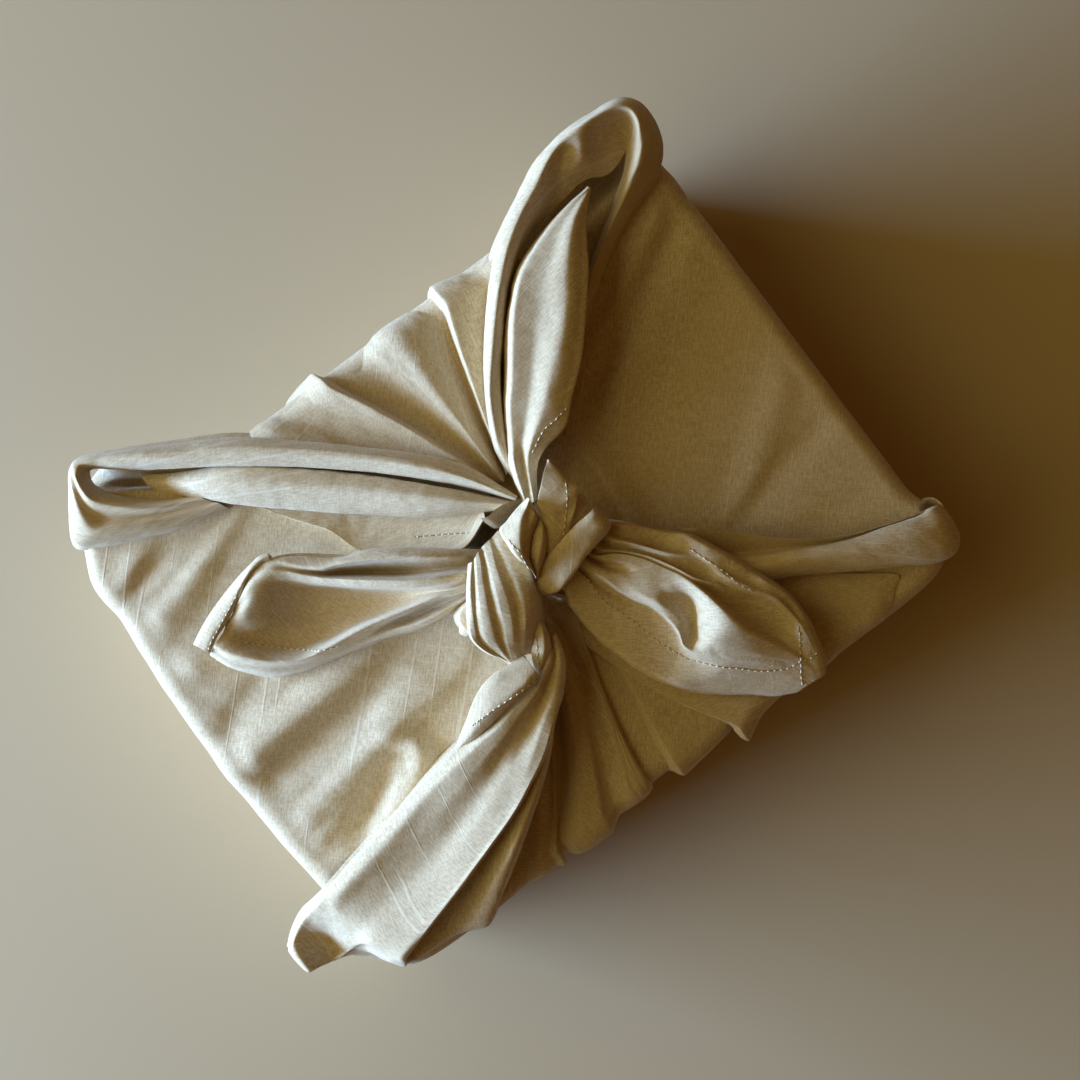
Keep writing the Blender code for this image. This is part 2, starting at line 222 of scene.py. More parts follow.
class Nodes:
    """Builds the tree of a material, or of stitches: every node comes from `node`."""

    def __init__(self, owner):
        if isinstance(owner, bpy.types.Material):
            owner.use_nodes = True
            owner = owner.node_tree
        self.tree = owner
        self.tree.nodes.clear()

    def node(self, kind, settings=None, sockets=None):
        made = self.tree.nodes.new(kind)
        for key, value in (settings or {}).items():
            setattr(made, key, value)
        for key, value in (sockets or {}).items():
            target = made.inputs[key]
            source = value.socket if isinstance(value, Sum) else value
            if isinstance(source, bpy.types.NodeSocket):
                self.tree.links.new(source, target)
            else:
                target.default_value = source
        return made

    def number(self, kind, settings=None, sockets=None, out=0):
        return Sum(self, self.node(kind, settings, sockets).outputs[out])

    def between(self, value, low, high):
        """0 below low, 1 above high, smooth between."""
        return self.number(
            "ShaderNodeMapRange",
            {"interpolation_type": "SMOOTHSTEP"},
            {"Value": value, "From Min": low, "From Max": high},
        )

    def mix(self, factor, first, second):
        sockets = {0: factor, 6: first, 7: second}
        return self.node("ShaderNodeMix", {"data_type": "RGBA"}, sockets).outputs[2]


COTTON = (0.62, 0.49, 0.32, 1.0)
COTTON_PALE = (0.74, 0.615, 0.435, 1.0)
COTTON_SLUB = (0.86, 0.76, 0.59, 1.0)
COTTON_DEEP = (0.53, 0.41, 0.26, 1.0)
WARP_SHARE = 0.62  # of the fine tones; the weft has the rest
CLOUD_SHOWS = 0.25
SLUB_SHOWS = 0.36
CROSS_SLUBS = 0.35  # the slubs of the weft are this much weaker
FIBRE_RELIEF, WEAVE_RELIEF, SLUB_RELIEF, FUZZ_RELIEF = 0.55, 0.06, 0.30, 0.12
WEAVE_PITCH = 0.00062  # metres, as the seven sizes below
THREAD_WIDTH = 0.00055
THREAD_RUN = 0.0032  # how far along a thread its tone stays the same
FUZZ = 0.0022
CLOUD = 0.05
SLUB_SPACING = 0.016  # between the thicker threads
SLUB_BEND = 1.4
SLUB_RUN = 0.05


def cotton(name):
    """Unbleached plain-weave cotton: fine crossed threads, thicker slubs, soft sheen."""
    material = bpy.data.materials.new(name)
    n = Nodes(material)
    flat = n.node("ShaderNodeUVMap", {"uv_map": CLOTH}).outputs[0]
    parts = n.node("ShaderNodeSeparateXYZ", None, {0: flat})
    warp, weft = Sum(n, parts.outputs[0]), Sum(n, parts.outputs[1])

    def noise(u, v, detail=2.0, rough=0.5):
        place = n.node("ShaderNodeCombineXYZ", None, {0: u, 1: v})
        return n.number(
            "ShaderNodeTexNoise",
            {"noise_dimensions": "2D"},
            {"Vector": place.outputs[0], "Scale": 1.0, "Detail": detail, "Roughness": rough},
        )

    def threads(along):
        turn = along * (2 * pi / WEAVE_PITCH)
        return n.number("ShaderNodeMath", {"operation": "SINE"}, {0: turn})

    def slubs(main, cross, spacing, shift):
        """Thin lines where slow noise across the threads passes its middle, broken along them."""
        level = noise(main / spacing + shift, cross / SLUB_BEND, 0.0)
        line = 1 - n.between(abs(level - 0.5), 0.002, 0.012)
        broken = noise(main / (SLUB_SPACING / 4) + shift, cross / SLUB_RUN + shift, 1.0)
        return line * n.between(broken, 0.42, 0.56)

    fibre_a = noise(warp / THREAD_WIDTH, weft / THREAD_RUN, 2.0, 0.6)
    fibre_b = noise(warp / THREAD_RUN, weft / THREAD_WIDTH, 2.0, 0.6)
    fibres = fibre_a * WARP_SHARE + fibre_b * (1 - WARP_SHARE)
    weave = threads(warp) * threads(weft)
    slub = slubs(warp, weft, SLUB_SPACING, 3.1)
    slub = slub + slubs(weft, warp, SLUB_SPACING * 1.6, 7.7) * CROSS_SLUBS
    cloudy = noise(warp / CLOUD, weft / CLOUD, 3.0)
    fuzz = noise(warp / FUZZ, weft / FUZZ, 3.0, 0.7)

    tone = n.mix(n.between(fibres, 0.34, 0.66), COTTON_DEEP, COTTON_PALE)
    tone = n.mix(n.between(cloudy, 0.3, 0.7) * CLOUD_SHOWS, tone, COTTON)
    tone = n.mix(slub * SLUB_SHOWS, tone, COTTON_SLUB)
    height = fibres * FIBRE_RELIEF + weave * WEAVE_RELIEF + slub * SLUB_RELIEF + fuzz * FUZZ_RELIEF
    relief = {"Height": height, "Strength": 0.26, "Distance": 0.0008}
    normal = n.node("ShaderNodeBump", None, relief)
    shader = n.node(
        "ShaderNodeBsdfPrincipled",
        None,
        {"Base Color": tone, "Normal": normal.outputs[0], "Roughness": 0.78},
    )
    shader.inputs["Sheen Weight"].default_value = 0.22
    shader.inputs["Sheen Roughness"].default_value = 0.45
    shader.inputs["Specular IOR Level"].default_value = 0.28
    n.node("ShaderNodeOutputMaterial", None, {0: shader.outputs[0]})
    return material


cotton_cloth = cotton("natural_cotton")


def finish_cloth(obj, replaces=False):
    obj.data.materials.clear()
    obj.data.materials.append(cotton_cloth)
    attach(obj, "root")
    if replaces:
        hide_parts("wrapping_cloth")


# Where the cloth stands out past the box at the corners that the folds loop over: how far, and
# how long it fades before and after that place.
Ear = namedtuple("Ear", "side along reach before after")
EARS = (
    Ear("back", -112, 25, 20, 60),
    Ear("back", 117, 15, 56, 21),
    Ear("right", -80, 3.5, 16, 16),
    Ear("front", -10, -3.5, 95, 70),
    Ear("left", 92, 3.5, 22, 20),
    Ear("left", 12, 6.2, 120, 110),
)

# Drag lines and creases of the two smooth flaps, and the open mouths under the looped corners.
FLAP_CREASES = (
    # left flap, from the back to the front
    ((-100, 88, 0, 4.5, 7), (-110, 87, 0.8, 4.5, 7), (-121, 84, 1.2, 7, 7), (-133, 80, 1.1, 7, 7)),
    ((-98, 82, 0, 4.5, 4.5), (-108, 81, -0.6, 6, 6), (-122, 78, -0.8, 6, 4.5),
     (-132, 75, -0.6, 6, 4.5)),
    ((-66, 79, 0, 4.5, 4.5), (-76, 76.5, 0.8, 6, 4), (-88, 73, 1.3, 7, 4.5), (-98, 69.5, 1.6, 9, 6),
     (-110, 65.5, 1.7, 10.5, 7), (-122, 63, 1.7, 11.5, 8), (-134, 60, 1.3, 11.5, 8)),
    ((-100, 38, 0, 9, 9), (-110, 39, 0.8, 10.5, 10.5), (-121, 42, 1.8, 10.5, 10.5),
     (-134, 45, 1.8, 10.5, 10.5)),
    ((-96, 24, 0, 7, 7), (-108, 21, -0.8, 8, 7), (-121, 17.5, -1.3, 9, 8), (-134, 15, -1.1, 9, 8)),
    ((-44, 6.5, 0, 7, 7), (-56, 6.5, 1.2, 8, 8), (-70, 5.5, 2.4, 9, 10.5),
     (-86, 4, 2.8, 10.5, 11.5), (-104, 3.5, 2.9, 11.5, 11.5), (-120, 3, 3.2, 12.5, 11.5),
     (-136, 2, 3, 12.5, 11.5)),
    ((-58, -5, 0, 8, 8), (-74, -6, -1, 9, 9), (-94, -7, -1.3, 10.5, 10.5),
     (-114, -9, -1.7, 11.5, 11.5), (-134, -10, -1.3, 11.5, 11.5)),
    ((-38, -16, 1.1, 8, 9), (-50, -19.5, 1.9, 7, 16), (-60, -20.5, 2.5, 7, 18.5),
     (-72, -20.5, 2.7, 7, 16), (-84, -22.5, 2.4, 8, 10.5), (-98, -25, 2.2, 10.5, 9),
     (-114, -28, 2.1, 12.5, 9), (-134, -32, 1.8, 12.5, 10.5)),
    ((-86, -22, 0.4, 6, 7), (-79, -24, 1.6, 7, 8), (-74, -28.5, 2.4, 8, 8),
     (-73.5, -34.5, 2.5, 8, 8), (-78.5, -40, 2.3, 7, 8), (-88, -45, 1.9, 6, 9),
     (-100, -50, 1.2, 6, 9)),
    ((-84, -30, -0.6, 5, 5), (-91, -34, -2.2, 8, 8), (-99, -38.5, -2.6, 9, 9),
     (-108, -43.5, -1.7, 9, 8), (-116, -50, 0, 8, 8)),
    ((-108, -36, 0, 4.5, 4.5), (-118, -38, 0.7, 4.5, 4.5), (-132, -41, 0.6, 6, 6)),
    # right flap
    ((60, 45, 0.7, 6, 7), (78, 52, 1.5, 6, 8), (98, 62, 1.9, 6, 9), (118, 73, 2, 7, 9),
     (136, 82, 1.7, 7, 9)),
    ((58, 33, -0.7, 7, 7), (78, 44, -1.4, 7, 9), (100, 55, -1.7, 8, 10.5), (122, 66, -1.5, 9, 10.5),
     (136, 72, -1, 9, 10.5)),
    ((56, 26, 0.5, 8, 10.5), (78, 36, 1.2, 9, 14), (100, 46, 1.2, 10.5, 16),
     (124, 55, 0.8, 10.5, 16)),
    ((74, -34, 0.3, 9, 7), (92, -22, 1, 10.5, 9), (108, -12, 1.2, 11.5, 10.5),
     (124, -1, 0.8, 11.5, 11.5)),
    ((66, -40, -0.7, 7, 7), (86, -34, -1, 7, 8), (108, -29, -1, 8, 9), (134, -25, -0.7, 9, 9)),
    ((43.4, 34, 0.9, 10.5, 3.5), (43.6, 22, 1.1, 11.5, 3.5), (43.8, 8, 1, 11.5, 3.5),
     (43.4, -6, 0.9, 10.5, 3.5), (43, -18, 0.7, 9, 3.5)),
    ((70, -78, 0, 3, 6), (78, -83.5, 1.8, 3, 7), (86, -90, 2, 3, 7), (93, -96, 0.6, 3, 6)),
    # under the fans the box lies a little lower
    ((2, -16, -9, 8, 9), (0, -24, -9, 9, 10), (-14, -50, -6, 14, 16), (-26, -72, -8, 22, 30),
     (-36, -92, -6, 34, 50)),
    # the hollow behind the knot
    ((-20, 14, 0, 5, 5), (-13, 15.5, -13, 6, 6), (-6, 16.5, -20, 6, 6), (0, 17, -16, 6, 6),
     (5, 17, 0, 5, 5)),
    # mouths
    ((-76, 93, -2, 4, 4), (-86, 101, -7, 4, 5), (-98, 110, -12, 4, 7), (-108, 118, -18, 5, 9),
     (-116, 125, -24, 7, 10)),
    ((82, 88, -6, 7, 8), (96, 94, -12, 8, 9), (110, 97, -16, 9, 10), (124, 99, -20, 10, 10)),
)


OUTLINE_STEPS = 8000
EAR_FROM, EAR_FADE = 0.75, 0.2  # as shares of the way from the middle to the side


def rounded_rectangle(angle):
    """The outline of the wrapped box at each angle from its middle."""
    c, s = np.cos(angle), np.sin(angle)
    reach = (np.abs(2 * c / LENGTH) ** CORNER + np.abs(2 * s / WIDTH) ** CORNER) ** (-1 / CORNER)
    return c * reach, s * reach


def rim(count):
    """The outline of the wrapped box at even steps round it: points and outward directions."""
    fine = np.linspace(0, 2 * pi, OUTLINE_STEPS)
    x, y = rounded_rectangle(fine)
    walked = np.concatenate([[0], np.cumsum(np.hypot(np.diff(x), np.diff(y)))])
    step = np.linspace(0, walked[-1], count, endpoint=False)
    x, y = rounded_rectangle(np.interp(step, walked, fine))
    ahead_x, ahead_y = np.roll(x, -1) - np.roll(x, 1), np.roll(y, -1) - np.roll(y, 1)
    size = np.hypot(ahead_x, ahead_y)
    return np.stack([x, y], 1), np.stack([ahead_y / size, -ahead_x / size], 1)


def ear_push(points):
    """How far the ears push each outline point out, as a vector."""
    push = np.zeros_like(points)
    for ear in EARS:
        axis = 1 if ear.side in ("back", "front") else 0
        sign = 1 if ear.side in ("back", "right") else -1
        span = WIDTH if axis == 1 else LENGTH
        offset = points[:, 1 - axis] - ear.along
        width = np.where(offset < 0, ear.before, ear.after)
        near = ease((sign * points[:, axis] / span * 2 - EAR_FROM) / EAR_FADE)
        push[:, axis] += sign * ear.reach * bump(offset, width) * near
    return push


def unevenness(x, y):
    """Slight soft waves in the taut cloth of the flaps."""
    straight, slanting = ripple(x * DRAWN, y, 8, 1), ripple(x + y, (y - x) * DRAWN, 6, 2)
    return TAUT_WAVES[0] * straight + TAUT_WAVES[1] * slanting


def wrapped_skin():
    """Rings of points from the knot out to the rim, over it, down the sides and round the foot."""
    outline, outward = rim(SKIN_AROUND)
    ears = ear_push(outline)
    top_edge = outline + ears - outward * EDGE_ROUND
    rings, places = [], []
    for share in 1 - np.linspace(1 - FIRST_RING, 0, SKIN_TOP_RINGS):
        flat = KNOT + (top_edge - KNOT) * share
        x, y = flat.T
        mound = MOUND * np.exp(-((np.hypot(x - KNOT[0], y - KNOT[1]) / MOUND_REACH) ** 2))
        left = 1 - FLATTEN_BY * ease((share - FLATTEN_FROM) / (1 - FLATTEN_FROM))
        z = HEIGHT + mound + crease_height(FLAP_CREASES, x, y) * left + unevenness(x, y)
        rings.append(np.column_stack([flat, z]))
        places.append(flat)
    over_rim = crease_height(FLAP_CREASES, *(outline + ears).T) * OVER_RIM
    for a in np.radians(np.linspace(0, 90, 8)[1:]):
        flat = outline + ears - outward * EDGE_ROUND * (1 - sin(a))
        lift = crease_height(FLAP_CREASES, *flat.T) * OVER_RIM
        lift = lift + unevenness(*flat.T) * cos(a)
        level = HEIGHT - EDGE_ROUND * (1 - cos(a)) + lift * cos(a)
        rings.append(np.column_stack([flat + outward * (lift * 0.5 * sin(a))[:, None], level]))
        places.append(top_edge + outward * EDGE_ROUND * a)
    walk = np.arange(SKIN_AROUND) * 2.0 * (LENGTH + WIDTH) / SKIN_AROUND
    for share in np.linspace(0, 1, SKIN_SIDE_RINGS + 1)[1:]:
        drop = (HEIGHT - EDGE_ROUND - FOOT_ROUND) * share
        flat = outline + ears * (1 - ease(share * 1.05)) - outward * SIDE_TUCK * share
        broad, small = ripple(walk, drop * 0.55, 24, 3), ripple(walk, drop * 0.4, 8, 4)
        uneven = SIDE_WAVES[0] * broad + SIDE_WAVES[1] * small
        out = uneven * bump(share - 0.5, 0.5) + 0.5 * over_rim * ease(1 - share / 0.45)
        flat = flat + outward * out[:, None]
        rings.append(np.column_stack([flat, np.full(SKIN_AROUND, HEIGHT - EDGE_ROUND - drop)]))
        places.append(top_edge + outward * (EDGE_ROUND * pi / 2 + drop))
    for a in (30, 60, 90):
        a = radians(a)
        flat = outline - outward * (SIDE_TUCK + FOOT_ROUND * (1 - cos(a)))
        rings.append(np.column_stack([flat, np.full(SKIN_AROUND, FOOT_ROUND * (1 - sin(a)))]))
        places.append(top_edge + outward * (HEIGHT + FOOT_ROUND * a))
    rings.reverse()  # the closed pole under the knot comes last
    places.reverse()
    pole = np.array([*KNOT, HEIGHT + MOUND])
    return cloth_mesh("wrapped_box_cloth", np.stack(rings), np.stack(places), loop=True, cap=pole)


def underside():
    """The cloth under the box, inside the rounded foot."""
    outline, outward = rim(SKIN_AROUND // 4)
    edge = outline - outward * (SIDE_TUCK + FOOT_ROUND)
    shares = np.linspace(1, 0.04, 24)[:, None, None]
    flat = edge[None] * shares
    x, y = flat[..., 0], flat[..., 1]
    z = BASE_WAVE * (1 + ripple(x, y, 22, 5)) * bump(shares[..., 0] - 0.5, 0.5)
    return cloth_mesh("base_cloth", np.dstack([x, y, z]), flat, loop=True, cap=np.zeros(3))


def from_middle(place):
    """The way out from the middle of the box."""
    return place - Vector((0, 0, HEIGHT / 2 * MM))


finish_cloth(face_out(wrapped_skin(), from_middle), replaces=True)
finish_cloth(face_out(underside(), from_middle))

# ---------------------------------------------------------------------------------------------
# The two fans of pleats: where the cloth of the long sides comes up over the edge and gathers
# into the knot. Each row is one crest or valley of a pleat, from the knot out over the rim and
# down the side to the foot, in the order they lie side by side.
# ---------------------------------------------------------------------------------------------
FAN_STEPS = 150  # points along each pleat
FAN_CENTRE = 18.0  # how far the point where the pleats meet lies behind their inner ends
FAN_WAVE = 0.25  # height of the slight waves in the cloth
STIFF_BEND = 0.8  # share of a pleat's bend that its flat cloth has
CURVE_STEPS = 40


def even(line, count):
    """A smooth curve through a row of points, with points at even distances along it."""
    curve = flow(line, CURVE_STEPS * len(line))
    walked = np.concatenate([[0], np.cumsum(np.linalg.norm(np.diff(curve, axis=0), axis=1))])
    steps = np.linspace(0, walked[-1], count)
    return np.stack([np.interp(steps, walked, curve[:, axis]) for axis in range(3)], 1)


def tucked(edge, beside, inward, down):
    """The edge line again, folded under: shifted towards the line beside it and lowered."""
    step = beside[:, :2] - edge[:, :2]
    step = step / np.maximum(np.linalg.norm(step, axis=1), 1e-6)[:, None]
    return np.column_stack([edge[:, :2] + step * inward, edge[:, 2] - down])


def drawn_sheet(name, lines, along, across, waves, seed, tuck=(None, None), turn=THREAD_TURN,
                fan_centre=None, thick=0.0, stations=False):
    """A sheet through the fold lines drawn along it, smooth across them, with slight waves.

    tuck says how far each side edge is folded in and down. stations keeps the points of the
    lines abreast, for a sheet that turns round a corner.
    """
    ruled = [flow(line, along) if stations else even(line, along) for line in lines]
    if tuck[0]:
        ruled.insert(0, tucked(ruled[0], ruled[1], *tuck[0]))
    if tuck[1]:
        ruled.append(tucked(ruled[-1], ruled[-2], *tuck[1]))
    grid = flow(np.stack(ruled), across, tight=True).transpose(1, 0, 2)  # rows run along the lines
    arc = np.linalg.norm(np.diff(grid, axis=1), axis=2)
    arc = np.concatenate([np.zeros((along, 1)), np.cumsum(arc, axis=1)], axis=1)
    run = np.linalg.norm(np.diff(grid, axis=0), axis=2)
    run = np.concatenate([np.zeros((1, across)), np.cumsum(run, axis=0)], axis=0)
    if fan_centre is None:
        flat = np.stack([arc - arc[:, across // 2][:, None], run], 2)
    else:  # a fan lies flat as rays round its centre
        reach = run + fan_centre
        bend = np.diff(arc, axis=1) / ((reach[:, 1:] + reach[:, :-1]) / 2)
        bend = np.concatenate([[0], np.cumsum(bend.max(axis=0) * STIFF_BEND)])
        bend = bend - bend[across // 2]
        flat = np.stack([reach * np.sin(bend), reach * np.cos(bend)], 2)
    normal = np.cross(np.gradient(grid, axis=1), np.gradient(grid, axis=0))
    normal /= np.maximum(np.linalg.norm(normal, axis=2), 1e-9)[..., None]
    if normal[..., 2].mean() < 0:
        normal = -normal
    u, v = flat[..., 0], flat[..., 1]
    uneven = ripple(u, v * DRAWN, 7, seed) + 0.5 * ripple(u, v, 4, seed + 1)
    grid = grid + normal * (waves * uneven)[..., None]
    obj = face_out(cloth_mesh(name, grid, flat, turn=turn), lambda place: Vector((0, 0, 1)))
    if thick:
        wall = obj.modifiers.new("thickness", "SOLIDIFY")
        wall.thickness, wall.offset = thick * MM, -1
    return obj


# x0 y0 z0: inner end, z0 above the box top; x1 y1 z1: where it crosses the rim, z1 above the
# top there; bow: how far the line bends sideways; foot: x where it meets the foot.
Ray = namedtuple("Ray", "x0 y0 z0 x1 y1 z1 bow foot")
BACK_FAN = (
    Ray(5, 24, 8, -64, 97, 0.8, 0, -112),
    Ray(5, 26, 8, -57, 98, 1.5, 0, -112),
    Ray(6, 27, 10, -44, 100, 5, 0, -100),
    Ray(7, 27, 7, -34, 98.5, 2.5, 0, -84),
    Ray(8, 26, 8, -26, 99, 3.5, 0, -72),
    Ray(8, 27, 13, -18, 103, 8, 2, -60),
    Ray(9, 28, 7, -15, 99.5, 1.5, 2, -54),
    Ray(10, 28, 5, -5, 97, 0.5, 2, -42),
    Ray(11, 28, 7.5, 4, 99.5, 4, 1, -24),
    Ray(12, 27, 10.5, 12, 101, 6, 0, -12),
    Ray(13, 28, 7.5, 21, 100.5, 4, -1, 2),
    Ray(14, 29, 3, 28, 98, 0.5, -1, 14),
    Ray(14, 28.5, 2, 31, 97, -0.5, -1, 20),
    Ray(14.8, 28.5, 11, 34.6, 102.5, 7, -1, 28),
    Ray(16, 29, 9, 43, 100.5, 5, -1, 42),
    Ray(17, 30, 10, 51, 98, 2, -1, 62),
    Ray(19, 30, 12, 62, 98, 4, 0, 90),
    Ray(21, 30, 10, 72, 96, 1, 0, 112),
)
FRONT_FAN = (
    Ray(-1.6, -16.8, 12, -94, -96, 0.8, 0, -112),
    Ray(-1.2, -17.3, 12, -82, -97, 1.5, 0, -112),
    Ray(-4.9, -21.6, 2, -70, -98.5, -0.5, 0, -88),
    Ray(-5.6, -21, 1, -62, -100.5, 1, 0, -79),
    Ray(-6.1, -20.7, 0, -57, -100, -0.5, -1, -73),
    Ray(-6.4, -20.5, -1, -54.5, -101.5, 1.2, -1, -70),
    Ray(-6.4, -20.5, -3.6, -52.8, -99.5, -2.4, -3, -66),
    Ray(-5.5, -20.5, -3, -51.3, -99, -2, -3, -64),
    Ray(-4.6, -17.2, 2.6, -47, -102, 2.4, -3, -60),
    Ray(-3.6, -15.9, 5.6, -41, -102.5, 3.8, -3, -52),
    Ray(-2.2, -15.7, 6, -34, -102.5, 3.4, -2, -42),
    Ray(-0.8, -15.5, 2.6, -26.5, -99, -0.6, -2, -34),
    Ray(0.4, -15.3, 4.2, -18.5, -99.5, 3.6, -3, -24),
    Ray(10.9, -13.4, 5, -12.5, -98.5, 3.4, 3, -16),
    Ray(11.4, -13.4, -0.5, -10.5, -97, -2, 3, -13),
    Ray(11.5, -13.2, -1.5, -4, -97, -2, 1, -6),
    Ray(11.3, -13.1, 3.6, 0.5, -101.5, 3.6, 0, 2),
    Ray(11.1, -13, 5, 10, -100.5, 2, 0, 14),
    Ray(11.4, -13.1, 2, 24, -98.5, 0, 0, 30),
)
FRONT_FAN_RIGHT = (
    Ray(-6.2, -13.6, 0.8, 25, -103, 2, 5, 30),
    Ray(-4.6, -14.6, 3, 27, -105.5, 4.2, 5, 33),
    Ray(-1.6, -15, 4.4, 38, -100.5, 2, 3, 48),
    Ray(-0.8, -14.7, 7, 52, -99.5, 0.5, 2, 66),
    Ray(0.3, -14.2, 10, 66, -100.5, 3, 0, 84),
    Ray(1.5, -13.9, 9, 80, -99, 0.5, 0, 98),
    Ray(4.2, -12.3, 10, 93, -100, 3, 0, 112),
    Ray(7.6, -10.9, 11, 108, -95, 1, 0, 112),
)


OFF_SKIN = 0.8  # how far the foot of a pleat stands off the skin
OFF_FLOOR = 0.4
CREST_ROUND = 0.5  # a high crest turns over the rim in a wider round
CREST_BELLY = 0.25  # and stands out on the side below it
RAY_STEPS = 9
DRIFT = 0.03  # share of its way to the foot that a line goes sideways with each step of the turn


def ray_line(ray):
    """The points of one pleat line: along the top, over the rim and down to the foot."""
    side = 1 if ray.y1 > 0 else -1
    crest = max(ray.z1, 0)
    round_size = EDGE_ROUND + crest * CREST_ROUND
    share = np.linspace(0, 1, RAY_STEPS)
    end = np.array([ray.x1, ray.y1 - side * round_size])
    start = np.array([ray.x0, ray.y0])
    run = end - start
    across = np.array([run[1], -run[0]]) / np.linalg.norm(run)
    flat = start + run * share[:, None] + across * (ray.bow * 4 * share * (1 - share))[:, None]
    level = HEIGHT + ray.z0 + (ray.z1 - ray.z0) * share**0.8
    points = [np.column_stack([flat, level])]
    turn = np.radians([25, 50, 75, 90])[:, None]
    top = HEIGHT + ray.z1 - round_size
    x = ray.x1 + (ray.foot - ray.x1) * DRIFT * np.arange(1, 5)[:, None]
    y, z = end[1] + side * round_size * np.sin(turn), top + round_size * np.cos(turn)
    points.append(np.hstack([x, y, z]))
    drop = np.linspace(0, 1, RAY_STEPS)[1:, None]
    at_foot = (1 - abs(2 * ray.foot / LENGTH) ** CORNER) ** (1 / CORNER)  # the rounded corner
    foot_y = side * (WIDTH / 2 * at_foot - SIDE_TUCK + OFF_SKIN)
    x = ray.x1 + (ray.foot - ray.x1) * (4 * DRIFT + (1 - 4 * DRIFT) * drop)
    belly = side * crest * CREST_BELLY * bump(drop - 0.4, 0.5)
    y = ray.y1 + (foot_y - ray.y1) * ease(drop) + belly
    points.append(np.hstack([x, y, top * (1 - drop) + OFF_FLOOR]))
    return np.vstack(points)


for name, fan, across, seed, size, area in (
    ("back_fan", BACK_FAN, 340, 11, (200, 160), 0.0255),
    ("front_fan", FRONT_FAN, 320, 21, (170, 160), 0.019),
    ("front_fan_right", FRONT_FAN_RIGHT, 160, 23, (120, 160), 0.0125),
):
    pleats = [ray_line(ray) for ray in fan]
    sheet = drawn_sheet(name, pleats, FAN_STEPS, across, FAN_WAVE, seed, fan_centre=FAN_CENTRE)
    finish_cloth(sheet)

# ---------------------------------------------------------------------------------------------
# The rolls: the two long corners of the cotton cloth run from the knot across the top to a corner
# of the box, loop over it and come back as a lip. The left one is two soft bands. Each is drawn by
# the folds along it and closed down to the cloth under it.
# ---------------------------------------------------------------------------------------------
ROLL_STEPS = 190  # points along a roll
LINE_STEPS = 9  # points from one fold to the next
ROLL_WAVE = 0.25
UNDER = (3.0, 5.0)  # how far the edge of a roll is folded in and down
CLOSE = 0.4


def closed_down(lines, first, last):
    """The folds, with one more just inside the first or last that has the heights given for it."""
    lines = [np.array(line, float) for line in lines]
    if first:
        edge = tucked(lines[0], lines[1], CLOSE, 0)
        lines.insert(0, np.column_stack([edge[:, :2], first]))
    if last:
        edge = tucked(lines[-1], lines[-2], CLOSE, 0)
        lines.append(np.column_stack([edge[:, :2], last]))
    return lines


LEFT_UPPER = (
    ((13, 19.5, 84), (2, 43.5, 85), (-22.5, 69, 83), (-54.5, 97, 80), (-77, 111, 79),
     (-96, 122, 78.5), (-107.5, 127.3, 78.5), (-112.8, 126.8, 78.5), (-117.5, 121, 78),
     (-123, 113.5, 77.5), (-128.5, 104, 76), (-122, 98.5, 75.5), (-108, 92, 75), (-96, 87, 74.8),
     (-76, 81.5, 74.3)),
    ((12.5, 19.3, 87), (0, 42.3, 90), (-23.5, 67, 89), (-55.7, 94.7, 86), (-77.5, 108.8, 84),
     (-95.5, 120.3, 82.5), (-107.3, 126.2, 81.5), (-112.3, 125.6, 81.8), (-115.8, 120, 81.5),
     (-119, 111, 80.8), (-119.5, 103.5, 80), (-113, 99, 79.5), (-103, 94, 78.5), (-92, 89.5, 77),
     (-77, 84, 76)),
    ((12.2, 19.1, 88), (-1, 41.6, 91.7), (-24, 66, 90.7), (-56.4, 93.3, 87.7), (-77.8, 107.2, 85.7),
     (-95.2, 119, 83.7), (-107.1, 125.4, 82.5), (-111.6, 124.9, 82.7), (-114.4, 119.7, 81.5),
     (-116, 111.5, 80), (-113.5, 104.5, 78.6), (-108, 100.5, 78), (-100.5, 95.8, 77),
     (-91, 91, 76.2), (-79, 86.2, 75.5)),
    ((12, 19, 88), (-2, 40.8, 92), (-24.8, 64.6, 91), (-57.4, 91.6, 88), (-78.7, 105.6, 86),
     (-95, 117.7, 84), (-106.9, 124.5, 82.8), (-110.8, 123.7, 83.2), (-112.8, 119.8, 82.7),
     (-113, 113, 82), (-109.5, 107.5, 81), (-105, 103, 80.5), (-98.5, 97.8, 79.5),
     (-90, 92.7, 78.3), (-80, 88, 76.8)),
    ((11.3, 19, 87), (-3.8, 39, 89), (-27, 62.6, 88), (-59.6, 89.2, 86), (-82, 105, 83.5),
     (-96.8, 115.6, 82), (-106.6, 122.8, 81), (-109.5, 122.2, 81), (-111.2, 119, 79.5),
     (-110.5, 113.5, 77), (-106.5, 109, 76), (-102.5, 104.5, 75.5), (-96.5, 99.5, 75),
     (-89.5, 94.5, 75), (-81.5, 90, 75)),
    ((11, 19, 84), (-4.3, 38, 86.5), (-27.8, 61.5, 85.5), (-60.2, 88.2, 83.5), (-82.8, 104, 80.5),
     (-97.3, 114.6, 76), (-106.4, 121.8, 75), (-108.8, 121.3, 74), (-110, 118, 72),
     (-108.5, 113, 69), (-104.5, 108, 67), (-100.5, 104.5, 66), (-94.5, 100, 66), (-88.5, 96, 69),
     (-82, 91, 73)),
)
LEFT_LOWER = (
    ((10, 19.5, 83), (-7, 38.5, 86), (-29.5, 62, 84), (-61.5, 90, 81), (-80, 101, 74),
     (-95, 111, 68)),
    ((8.5, 19, 88), (-9.5, 35, 90), (-33.5, 57.5, 88), (-64, 83, 85), (-80, 95, 80),
     (-95, 107, 69)),
    ((4.5, 19.5, 84), (-15, 30.5, 82), (-39.5, 51, 79), (-65.5, 73.5, 77), (-80, 88, 75),
     (-92, 100, 68)),
)
